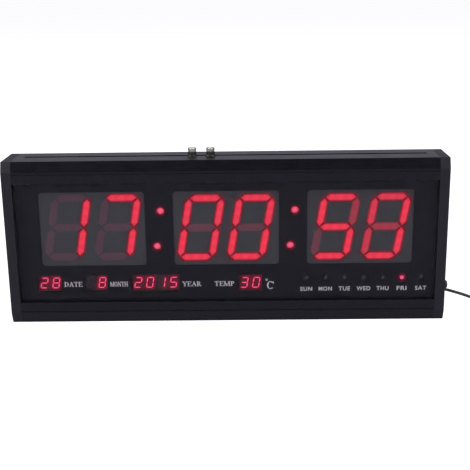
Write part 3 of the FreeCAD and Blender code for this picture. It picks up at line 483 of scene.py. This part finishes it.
def painted_shade_nut_material(seam):
    """Bright zinc above the seam between a hanger's nuts, and dark zinc below it as painted shade on the
    lower nut.
    """
    made = metal("zinc_with_painted_shade", *ZINC)
    tree = made.node_tree
    shader = tree.nodes["Principled BSDF"]
    bright = shader.inputs["Base Color"].links[0].from_socket
    height = node(tree, "SeparateXYZ", {0: node(tree, "TexCoord").outputs["Object"]}).outputs["Z"]
    share = between(tree, height, 0, 1, seam - SEAM_BLUR, seam + SEAM_BLUR)
    # Below the seam the nut takes a dark colour as painted shade.
    tree.links.new(blended(tree, share, PAINTED_SHADE_NUT, bright), shader.inputs["Base Color"])
    return made


def soften_edges():
    """Small rounded edges on the CAD parts that have sharp outer corners."""
    for name, wide in EDGE_WIDTHS_MM.items():
        softened = frame["nodes"][name].modifiers.new("edges", "BEVEL")
        softened.width = wide * MM
        softened.segments = 2
        softened.limit_method = "ANGLE"
        softened.angle_limit = radians(35)
        softened.harden_normals = True


def dress_nuts():
    """The hangers' nuts: a bright one locked on one coloured dark as painted shade, with washers also
    darkened as painted shade.
    """
    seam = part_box("left_hanger_nuts")[0].z + LOWER_NUT_THICK
    finish = painted_shade_nut_material(seam)
    # The washers take dark zinc as painted shade.
    shaded_washer_look = metal("washer_zinc_painted_shade", *PAINTED_SHADE_ZINC)
    for side in ("left", "right"):
        for part, look in (("_hanger_nuts", finish), ("_hanger_washer", shaded_washer_look)):
            shown = frame["nodes"][side + part]
            shown.data.materials.clear()
            shown.data.materials.append(look)


def cross_reach(turn):
    """How far the outline of the cross recess is from its middle, in one direction."""
    wide, tall = max(abs(cos(turn)), 1e-6), max(abs(sin(turn)), 1e-6)
    level_arm = min(CROSS_LONG / wide, CROSS_HALF / tall)
    upright_arm = min(CROSS_LONG / tall, CROSS_HALF / wide)
    return max(level_arm, upright_arm)


def screw_part(seat, into):
    """A cross-head machine screw: its head stands on a seat, and its shank goes into the hole."""
    long, axis = into.length, into.normalized()
    side = axis.orthogonal().normalized()
    other = axis.cross(side)
    tip = atan2(CROSS_HALF, CROSS_LONG)
    quarter = [0, tip, (tip + pi / 4) / 2, pi / 4, (3 * pi / 4 - tip) / 2, pi / 2 - tip]
    turns = [q * pi / 2 + a for q in range(4) for a in quarter]
    outline = [(SHANK_TIP_R, long), (SHANK_R, long - SHANK_POINT), (SHANK_R, 0), (HEAD_R, 0),
               (HEAD_R, -HEAD_RIM)]
    for k in range(1, DOME_RINGS + 1):
        turn = DOME_TURN * k / DOME_RINGS
        outline.append((HEAD_FLAT_R + (HEAD_R - HEAD_FLAT_R) * cos(turn),
                        -HEAD_RIM - (HEAD_TALL - HEAD_RIM) * sin(turn)))

    def ring(along, reaches):
        """Points round the axis, each at its own reach."""
        return [seat + axis * along + (side * cos(turn) + other * sin(turn)) * reach
                for turn, reach in zip(turns, reaches)]

    rings = [ring(along, [radius] * len(turns)) for radius, along in outline]
    recess = [cross_reach(turn) for turn in turns]
    rings.append(ring(-HEAD_TALL, recess))
    rings.append(ring(CROSS_DEEP - HEAD_TALL, [CROSS_TAPER * reach for reach in recess]))
    return ring_part(rings)


def make_screws():
    """The eight cap screws, and the twelve screws of the board and the cover."""
    caps = [screw_part(Vector((side * CAP_SEAT_X, y, z)), Vector((-side * CAP_SCREW_LONG, 0, 0)))
            for side in (-1, 1) for y, z in CAP_PORTS]
    piece("cross_head_cap_screws", caps, MATERIALS["black_screw"], stands_for=["cap_screws"])
    board = []
    for x, z in BOARD_HOLES:
        board.append(screw_part(Vector((x, BOARD_FRONT, z)), Vector((0, BOARD_SCREW_LONG, 0))))
        board.append(screw_part(Vector((x, COVER_BACK, z)), Vector((0, -BOARD_SCREW_LONG, 0))))
    piece("cross_head_board_screws", board, MATERIALS["zinc_steel"],
          stands_for=["board_screws"])


def make_relief():
    """The bush in the cap: a flange, and a tapered nose with ribs moulded round it."""
    low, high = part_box("strain_relief")
    bore = LEAD_WIDE / 2 + BORE_GAP
    back, front = CAP_FACE + FLANGE_FROM - low.x, CAP_FACE + FLANGE_TO - low.x
    profile = [(bore, 0), (CATCH_R, 0), (CATCH_R, CATCH_LONG), (NECK_R, CATCH_LONG), (NECK_R, back),
               (FLANGE_R - FLANGE_ROUND, back), (FLANGE_R, back + FLANGE_ROUND),
               (FLANGE_R, front - FLANGE_ROUND), (FLANGE_R - FLANGE_ROUND, front)]
    end, steps = high.x - low.x, RIBS * RIB_POINTS
    for k in range(steps + 1):
        share = k / steps
        ribbed = RIB_MARGIN < RIBS * share < RIBS - RIB_MARGIN
        groove = RIB_DEEP * (1 - cos(2 * pi * RIBS * share)) if ribbed else 0
        radius = NOSE_R[0] + (NOSE_R[1] - NOSE_R[0]) * share - groove
        profile.append((radius, front + (end - front) * share))
    profile.append((bore, end))
    made = turned(profile, (low.x, (low.y + high.y) / 2, (low.z + high.z) / 2), (1, 0, 0), RELIEF_COUNT,
                  loop=True)
    piece("ribbed_relief", [made], MATERIALS["rubber_black"], stands_for=["strain_relief"])


# ---- stage: lights by name, place, aim, size, power and colour ----
LIGHTS = (
    ("key", (-1.1, -1.0, 3.0), (0, 0, 0.05), (1.6, 1.6), 72, (1.0, 0.985, 1.0)),
    ("fill", (1.5, -0.8, 2.6), (0, 0, 0.05), (1.4, 1.4), 34, (0.98, 0.98, 1.0)),
    ("left_side", (-2.5, -1.5, 0.9), (0, 0, 0.08), (1.2, 1.2), 48, (0.99, 0.98, 1.0)),
    ("right_side", (2.5, -1.5, 0.9), (0, 0, 0.08), (1.2, 1.2), 40, (0.99, 0.98, 1.0)),
)
FLOOR_HALF = 30.0
FLOOR_DROP = 0.02 * MM
FLOOR_COLOUR = (0.345, 0.335, 0.41)
FLOOR_GLOW = 0.93
ROOM_IN_FRONT = (0.033, 0.033, 0.041)
ROOM_BEHIND = (0.34, 0.33, 0.39)


def area_light(name, at, towards, size, power, colour):
    """A soft square light that faces a point."""
    data = bpy.data.lights.new(name, "AREA")
    data.shape = "RECTANGLE"
    data.size, data.size_y = size
    data.energy = power
    data.color = colour
    lamp = bpy.data.objects.new(name, data)
    bpy.context.scene.collection.objects.link(lamp)
    lamp.location = at
    lamp.rotation_euler = (Vector(towards) - Vector(at)).to_track_quat("-Z", "Y").to_euler()


def make_floor():
    """A plain pale floor, evenly white to the eye, that keeps a soft shadow under the clock."""
    mesh = bpy.data.meshes.new("floor")
    corners = [(x * FLOOR_HALF, y * FLOOR_HALF, 0) for x, y in ((-1, -1), (1, -1), (1, 1), (-1, 1))]
    mesh.from_pydata(corners, [], [(0, 1, 2, 3)])
    floor = bpy.data.objects.new("floor", mesh)
    bpy.context.scene.collection.objects.link(floor)
    floor.location.z = -FLOOR_DROP
    made = bpy.data.materials.new("floor_paper")
    made.use_nodes = True
    tree = made.node_tree
    tree.nodes.remove(tree.nodes["Principled BSDF"])
    paper = node(tree, "BsdfDiffuse", {"Color": (*FLOOR_COLOUR, 1)}).outputs[0]
    seen = node(tree, "LightPath").outputs["Is Camera Ray"]
    white = node(tree, "Math", {0: seen, 1: FLOOR_GLOW}, operation="MULTIPLY").outputs[0]
    shine = node(tree, "Emission", {"Strength": white}).outputs[0]
    both = node(tree, "AddShader", {0: paper, 1: shine}).outputs[0]
    tree.links.new(both, tree.nodes["Material Output"].inputs["Surface"])
    floor.data.materials.append(made)


def make_world():
    """A pale room that is dimmer in front of the clock and above it than behind."""
    world = bpy.data.worlds.new("room")
    bpy.context.scene.world = world
    world.use_nodes = True
    tree = world.node_tree
    place = node(tree, "TexCoord").outputs["Generated"]
    parts = node(tree, "SeparateXYZ", {0: place})
    back = between(tree, parts.outputs["Y"], 0.0, 1.0, -0.1, 0.9)
    room = blended(tree, back, ROOM_IN_FRONT, ROOM_BEHIND)
    seen = node(tree, "LightPath").outputs["Is Camera Ray"]
    shade = blended(tree, seen, room, (1, 1, 1))
    tree.links.new(shade, tree.nodes["Background"].inputs["Color"])


def make_stage():
    """The floor, the room and four soft lights."""
    make_floor()
    make_world()
    for light in LIGHTS:
        area_light(*light)
    bpy.context.scene.view_settings.view_transform = "Standard"


# ---- displays ----
BAR_SECTIONS = 26
BAR_STRIPS = 8
TIP_NARROW = 0.16
TIP_POWER = 1.3
BAR_CROWN = 0.05
RIPPLE = 0.20
SIDE_FADE = 0.30
TIP_FADE = 0.45
BAR_SIDE_HOT = 0.5
BIG_PROUD = 0.14 * MM
BIG_DEEP = 2.4 * MM
SMALL_PROUD = 0.1 * MM
SMALL_DEEP = 1.2 * MM
SPILL_PROUD = 0.03 * MM
BIG_STEP = 0.7 * MM
SMALL_STEP = 0.35 * MM
LEAST_LIT = 0.1
LEAST_GLOW = 0.015
TIP_SHARE = 0.75
# Strength and reach of the rim and of the haze round a lit bar.
BIG_GLOW = ((0.30, 0.70 * MM), (0.02, 5.0 * MM))
SMALL_GLOW = ((0.27, 1.7 * MM), (0.05, 3.0 * MM))


def middle(node_name):
    """The middle of a CAD node's box."""
    low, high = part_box(node_name)
    return (low + high) / 2


def digit_lines(x, z, style, text, name):
    """Each bar of a row of digits: its two ends at (x, z), slanted, and how brightly it is lit."""
    made = []
    w, h = style["wide"] / 2, style["half_tall"]
    corners = {"tl": (-w, h), "tr": (w, h), "ml": (-w, 0), "mr": (w, 0), "bl": (-w, -h), "br": (w, -h)}
    for place, figure in enumerate(text):
        centre = x + (place - (len(text) - 1) / 2) * style["pitch"]
        for letter, pair in zip(BAR_LETTERS, BAR_ENDS):
            ends = [corners[c] for c in pair.split()]
            level = DIM_BARS.get((name, place, letter), float(letter in LIT_BARS[figure]))
            made.append({"centre": (centre, z), "ends": ends, "level": level})
    return made


def slanted(bar, along, across):
    """A point of a bar: so far along its middle line and so far to its side, in the leaning frame."""
    (x0, z0), (x1, z1) = bar["ends"]
    length = hypot(x1 - x0, z1 - z0)
    ux, uz = (x1 - x0) / length, (z1 - z0) / length
    x, z = x0 + ux * along - uz * across, z0 + uz * along + ux * across
    return bar["centre"][0] + x + z * SLANT, bar["centre"][1] + z


def bar_part(bar, style, front, deep):
    """One light bar: tapered tips, a slightly crowned face, and light that fades to its sides and tips."""
    (x0, z0), (x1, z1) = bar["ends"]
    length = hypot(x1 - x0, z1 - z0)
    half, start = style["bar"] / 2, style["gap"]
    reach = length / 2 - start
    rings, hot = [], []
    for k in range(BAR_SECTIONS + 1):
        off = -cos(pi * k / BAR_SECTIONS) * reach
        to_tip = min(1.0, (reach - abs(off)) / half)
        width = half * max(TIP_NARROW, 1 - (1 - to_tip) ** TIP_POWER)
        ripple = 1 - RIPPLE / 2 * (1 - cos(pi * style["hot_spots"] * off / reach))
        to_middle = 1 - TIP_FADE * abs(off / reach) ** 4
        ring = []
        for j in range(BAR_STRIPS + 1):
            t = 2 * j / BAR_STRIPS - 1
            x, z = slanted(bar, length / 2 + off, t * width)
            ring.append((x, front + BAR_CROWN * half * t * t, z))
            hot.append(ripple * (1 - SIDE_FADE * t * t) * to_middle)
        for t in (1, -1):
            x, z = slanted(bar, length / 2 + off, t * width)
            ring.append((x, front + deep, z))
            hot.append(BAR_SIDE_HOT)
        rings.append(ring)
    return ring_part(rings, {"hot": hot, "level": [bar["level"]] * len(hot)})


def spill_part(bars, style, front, low, high, step, terms):
    """A grid over a display's face whose glow dies away from each lit bar."""
    across, up = round((high.x - low.x) / step), round((high.z - low.z) / step)
    places, glow = [], []
    lit = [bar for bar in bars if bar["level"] > LEAST_LIT]
    for j in range(up + 1):
        for i in range(across + 1):
            x, z = low.x + (high.x - low.x) * i / across, low.z + (high.z - low.z) * j / up
            dark = 1.0
            for bar in lit:
                dark *= 1 - bar["level"] * glow_at(distance_from(bar, style, x, z), terms)
            places.append((x, front, z))
            glow.append(1 - dark)
    faces = []
    for j in range(up):
        for i in range(across):
            a = j * (across + 1) + i
            face = (a, a + 1, a + across + 2, a + across + 1)
            if max(glow[n] for n in face) > LEAST_GLOW:
                faces.append(face)
    used = sorted({n for face in faces for n in face})
    new = {n: k for k, n in enumerate(used)}
    return {"points": [places[n] for n in used], "faces": [tuple(new[n] for n in face) for face in faces],
            "values": {"glow": [glow[n] for n in used]}}


def distance_from(bar, style, x, z):
    """How far a point of the face is from a bar's edge."""
    (x0, z0), (x1, z1) = bar["ends"]
    rise = z - bar["centre"][1]
    lean = x - bar["centre"][0] - rise * SLANT
    long = hypot(x1 - x0, z1 - z0)
    half = style["bar"] / 2
    tip = (style["gap"] + TIP_SHARE * half) / long
    along = max(tip, min(1 - tip, ((lean - x0) * (x1 - x0) + (rise - z0) * (z1 - z0)) / long ** 2))
    return max(0.0, hypot(lean - x0 - along * (x1 - x0), rise - z0 - along * (z1 - z0)) - half)


def glow_at(away, terms):
    """The glow at a distance from a lit bar: a narrow rim that fills small eyes, and a faint haze."""
    (rim, rim_reach), (haze, haze_reach) = terms
    return rim * exp(-(away / rim_reach) ** 2) + haze * exp(-away / haze_reach)


def make_displays():
    """The light bars of all seven displays, and the light that they spill on their faces."""
    spill = glow_material("spilled_light", linear(150, 6, 36), linear(170, 12, 44))
    small_spill = glow_material("small_spilled_light", linear(160, 2, 46), linear(190, 14, 62))
    for name in BIG_NAMES:
        centre = middle(name + "_segments")
        low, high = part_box(name + "_display")
        bars = digit_lines(centre.x, centre.z, BIG_DIGIT, SHOWN[name], name)
        parts = [bar_part(bar, BIG_DIGIT, low.y - BIG_PROUD, BIG_DEEP) for bar in bars]
        piece(name + "_light_bars", parts, MATERIALS["bar_red"], stands_for=[name + "_segments"])
        field = spill_part(bars, BIG_DIGIT, low.y - SPILL_PROUD, low, high, BIG_STEP, BIG_GLOW)
        piece(name + "_spill", [field], spill)
    parts = []
    for name in SMALL_NAMES:
        low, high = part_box(name + "_display")
        centre = (low + high) / 2
        bars = digit_lines(centre.x, centre.z, SMALL_DIGIT, SHOWN[name], name)
        parts += [bar_part(bar, SMALL_DIGIT, low.y - SMALL_PROUD, SMALL_DEEP) for bar in bars]
        field = spill_part(bars, SMALL_DIGIT, low.y - SPILL_PROUD, low, high, SMALL_STEP, SMALL_GLOW)
        piece(name + "_spill", [field], small_spill)
    small = bar_material("small_light_bar", linear(60, 30, 40), linear(190, 60, 90),
                         linear(255, 92, 140), 1.12)
    piece("small_light_bars", parts, small, stands_for=["small_segments"])


# ---- lamps and the light round them: inner and outer radius and peak of each rim ----
LAMP_COUNT = 40
DOME_STEPS = 12
DOME_TIP = 0.002
DOME_FADE = 0.5
BARREL_HOT = 0.4
FOOT_HOT = 0.2
FOOT_WIDER = 0.4 * MM
FOOT_TALL = 1.2 * MM
RIM_STEPS = 8
RIM_COUNT = 48
RIM_POWER = 1.5
RIM_PROUD = 0.02 * MM
COLON_RIM = (COLON_HOLE_R, 6.8 * MM, 0.78)
DAY_RIM = (2.2 * MM, 6.4 * MM, 0.85)
DAY_RIM_SHIFT = 0.4 * MM


def lamp_part(x, z, tip_y, foot_y, radius, level):
    """A round LED: a dome, a barrel and a wider foot, brightest at the middle of its dome."""
    profile, hot = [], []
    for k in range(DOME_STEPS + 1):
        turn = pi / 2 * k / DOME_STEPS
        profile.append((radius * max(DOME_TIP, sin(turn)), radius * (1 - cos(turn))))
        hot.append(1.0 - DOME_FADE * sin(turn) ** 2)
    long, foot = foot_y - tip_y, radius + FOOT_WIDER
    profile += [(radius, long - FOOT_TALL), (foot, long - FOOT_TALL), (foot, long)]
    hot += [BARREL_HOT, FOOT_HOT, FOOT_HOT]
    return turned(profile, (x, tip_y, z), (0, 1, 0), LAMP_COUNT,
                  {"hot": hot, "level": [level] * len(hot)})


def rim_part(x, z, front, inner, outer, peak):
    """A flat ring whose glow dies away from its inner edge."""
    rings, glow = [], []
    for k in range(RIM_STEPS + 1):
        radius = inner + (outer - inner) * k / RIM_STEPS
        turns = [2 * pi * j / RIM_COUNT for j in range(RIM_COUNT)]
        rings.append([(x + radius * cos(turn), front, z + radius * sin(turn)) for turn in turns])
        glow += [peak * (1 - k / RIM_STEPS) ** RIM_POWER] * RIM_COUNT
    return ring_part(rings, {"glow": glow}, ends=False)


def make_lamps():
    """The four colon lamps, the seven weekday lamps and the light round those that are lit."""
    mask_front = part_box("legend_mask")[0].y - RIM_PROUD
    low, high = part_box("colon_leds")
    centre = (low + high) / 2
    rise, lean = COLON_RISE, COLON_RISE * SLANT * COLON_LEAN
    dots = [(x + side * lean, centre.z + side * rise) for x in COLON_X for side in (-1, 1)]
    colon = bar_material("colon_lamp", linear(120, 124, 128), linear(190, 60, 90), linear(250, 86, 118), 1.12)
    piece("colon_lamps", [lamp_part(x, z, low.y, high.y, COLON_R, 1.0) for x, z in dots], colon,
          stands_for=["colon_leds"])
    halo = glow_material("lamp_halo", linear(112, 2, 30), linear(150, 8, 44))
    rims = [rim_part(x, z, mask_front, *COLON_RIM) for x, z in dots]
    piece("colon_halos", rims, halo)
    low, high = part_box("weekday_leds")
    days = [(WEEKDAY_X + k * WEEKDAY_PITCH, (low.z + high.z) / 2) for k in range(len(WEEKDAYS))]
    lamps = [lamp_part(x, z, low.y, high.y, WEEKDAY_R, float(k == LIT_DAY)) for k, (x, z) in enumerate(days)]
    piece("weekday_lamps", lamps, MATERIALS["lamp_red"], stands_for=["weekday_leds"])
    x, z = days[LIT_DAY]
    rim = rim_part(x - DAY_RIM_SHIFT, z, mask_front, *DAY_RIM)
    piece("weekday_halo", [rim], halo)


# ---- printed legends: strokes as shares of the capitals' height ----
THICK = 0.17
THIN = 0.08
SERIF = 0.06
BOWL_STEPS = 28
INK_DEEP = 0.025 * MM
DOT_STEPS = 24
SANS_BOLD = 0.016
SANS_SPACING = 1.12
SANS_DEEP = 0.5


def stem(x, thick=THICK, low=0.0, high=1.0, feet=(1, 1), reach=0.1):
    """An upright stroke with slab ends at its foot and its head."""
    made = [("line", (x, low), (x, high), thick)]
    for wanted, z in zip(feet, (low + SERIF / 2, high - SERIF / 2)):
        if wanted:
            made.append(("line", (x - thick / 2 - reach, z), (x + thick / 2 + reach, z), SERIF))
    return made


def slab(x, z, half=0.14):
    """A short flat end under or over a slanted stroke."""
    return [("line", (x - half, z), (x + half, z), SERIF)]


def arm(x0, x1, z, tick=0.0, thick=THIN):
    """A thin level arm, with a short tick at its outer end."""
    made = [("line", (x0, z), (x1, z), thick)]
    if tick:
        made.append(("line", (x1, z), (x1, z + tick), THIN))
    return made


TOP = 1 - THIN / 2
FOOT = THIN / 2
GLYPHS = {
    "D": (0.80, stem(0.19) + [("bowl", (0.22, 0.5), (0.53, 0.5), -90, 90)]),
    "A": (0.80, [("line", (0.14, 0.03), (0.42, 0.98), THIN), ("line", (0.38, 0.98), (0.66, 0.03), THICK)]
          + arm(0.24, 0.56, 0.34) + slab(0.13, SERIF / 2) + slab(0.66, SERIF / 2, 0.16)),
    "T": (0.74, stem(0.37, feet=(1, 0)) + arm(0.37, 0.05, TOP, -0.22) + arm(0.37, 0.69, TOP, -0.22)),
    "E": (0.70, stem(0.19) + arm(0.19, 0.62, TOP, -0.2) + arm(0.19, 0.48, 0.52, 0.1)
          + arm(0.19, 0.66, FOOT, 0.24)),
    "M": (1.00, stem(0.13, THIN) + stem(0.85) + [("line", (0.15, 0.98), (0.48, 0.03), THICK),
                                                 ("line", (0.48, 0.03), (0.83, 0.98), THIN)]),
    "O": (0.84, [("bowl", (0.42, 0.5), (0.38, 0.5), 0, 360)]),
    "N": (0.86, stem(0.15, THIN) + stem(0.71, THIN, feet=(0, 1))
          + [("line", (0.16, 0.97), (0.69, 0.03), THICK)]),
    "H": (0.88, stem(0.19) + stem(0.69) + arm(0.19, 0.69, 0.5)),
    "Y": (0.78, stem(0.40, high=0.5, feet=(1, 0)) + slab(0.13, 1 - SERIF / 2, 0.16)
          + slab(0.66, 1 - SERIF / 2) + [("line", (0.13, 0.98), (0.40, 0.44), THICK),
                                         ("line", (0.66, 0.98), (0.42, 0.46), THIN)]),
    "R": (0.84, stem(0.19) + [("bowl", (0.22, 0.74), (0.37, 0.26), -90, 90)]
          + [("line", (0.36, 0.48), (0.66, 0.03), THICK)] + slab(0.71, SERIF / 2)),
    "P": (0.70, stem(0.19) + [("bowl", (0.22, 0.72), (0.40, 0.28), -90, 90)]),
    "C": (0.84, [("bowl", (0.44, 0.5), (0.40, 0.5), 42, 318), ("line", (0.77, 0.98), (0.77, 0.68), THIN)]),
}


def stroke_outline(stroke):
    """One stroke of a letter as matching inner and outer edges."""
    if stroke[0] == "line":
        _, (x0, z0), (x1, z1), thick = stroke
        long = hypot(x1 - x0, z1 - z0)
        nx, nz = -(z1 - z0) / long * thick / 2, (x1 - x0) / long * thick / 2
        return [(x0 + nx, z0 + nz), (x1 + nx, z1 + nz)], [(x0 - nx, z0 - nz), (x1 - nx, z1 - nz)]
    _, (x, z), (rx, rz), start, end = stroke
    outer, inner = [], []
    for k in range(BOWL_STEPS + 1):
        angle = radians(start + (end - start) * k / BOWL_STEPS)
        outer.append((x + rx * cos(angle), z + rz * sin(angle)))
        inner.append((x + (rx - THICK) * cos(angle), z + (rz - THIN) * sin(angle)))
    return outer, inner


def ink_part(outer, inner, front, deep):
    """A thin raised strip of ink between two edges."""
    rings = [[(xo, front, zo), (xi, front, zi), (xi, front + deep, zi), (xo, front + deep, zo)]
             for (xo, zo), (xi, zi) in zip(outer, inner)]
    return ring_part(rings)


def serif_text(text, left, right, middle_z, cap, front, deep):
    """A word in slab-footed capitals, fitted between its two ends."""
    wide = sum(GLYPHS[letter][0] for letter in text)
    scale = (right - left) / wide
    made, x = [], left
    for letter in text:
        letter_wide, strokes = GLYPHS[letter]
        for stroke in strokes:
            edges = [[(x + px * scale, middle_z + (pz - 0.5) * cap) for px, pz in edge]
                     for edge in stroke_outline(stroke)]
            made.append(ink_part(*edges, front, deep))
        x += letter_wide * scale
    return made


def sans_text(name, words, front, deep, material):
    """Bold upright capitals, each word centred on its own place."""
    parts = []
    for text, x, z, wide, cap in words:
        data = bpy.data.curves.new(name, "FONT")
        data.body = text
        data.offset = SANS_BOLD
        data.space_character = SANS_SPACING
        data.extrude = SANS_DEEP
        data.resolution_u = 4
        maker = bpy.data.objects.new(name, data)
        bpy.context.scene.collection.objects.link(maker)
        bpy.context.view_layer.update()
        mesh = bpy.data.meshes.new_from_object(maker)
        points = [v.co.copy() for v in mesh.vertices]
        low = Vector([min(p[i] for p in points) for i in range(3)])
        high = Vector([max(p[i] for p in points) for i in range(3)])
        placed = []
        for p in points:
            share = [(p[i] - low[i]) / (high[i] - low[i]) for i in range(3)]
            placed.append((x + (share[0] - 0.5) * wide, front + (1 - share[2]) * deep,
                           z + (share[1] - 0.5) * cap))
        parts.append({"points": placed, "faces": [tuple(f.vertices) for f in mesh.polygons]})
        bpy.data.objects.remove(maker)
        bpy.data.curves.remove(data)
        bpy.data.meshes.remove(mesh)
    return piece(name, parts, material)


def make_legends():
    """The light grey print on the mask."""
    ink = surface("legend_ink", (0.80, 0.79, 0.82), (0.88, 0.87, 0.90), (0.5, 0.6), 2500, 0.004 * MM)
    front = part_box("legend_mask")[0].y - INK_DEEP
    parts = []
    for text, left, right, middle_z, cap in SERIF_LEGENDS:
        parts += serif_text(text, left, right, middle_z, cap, front, INK_DEEP)
    x, z, radius = DEGREE_RING
    turns = [2 * pi * k / DOT_STEPS for k in range(DOT_STEPS + 1)]
    ring = [[(x + r * cos(turn), z + r * sin(turn)) for turn in turns] for r in (radius, 0.5 * radius)]
    parts.append(ink_part(*ring, front, INK_DEEP))
    piece("legends", parts, ink)
    words = [(text, WEEKDAY_LABEL_X + k * WEEKDAY_PITCH, WEEKDAY_LABEL_Z, WEEKDAY_WIDTHS[k], WEEKDAY_CAP)
             for k, text in enumerate(WEEKDAYS)]
    sans_text("weekday_legends", words, front, INK_DEEP, ink)


make_camera()
power_cord = make_lead()
power_cord.data.materials.append(MATERIALS["lead_black"])
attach(power_cord, CASE)
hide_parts("dc_lead", "dc_lead_coil", "dc_lead_tail")
dress_cad_nodes()
make_stage()
make_displays()
make_lamps()
make_legends()
soften_edges()
make_screws()
make_relief()
dress_nuts()
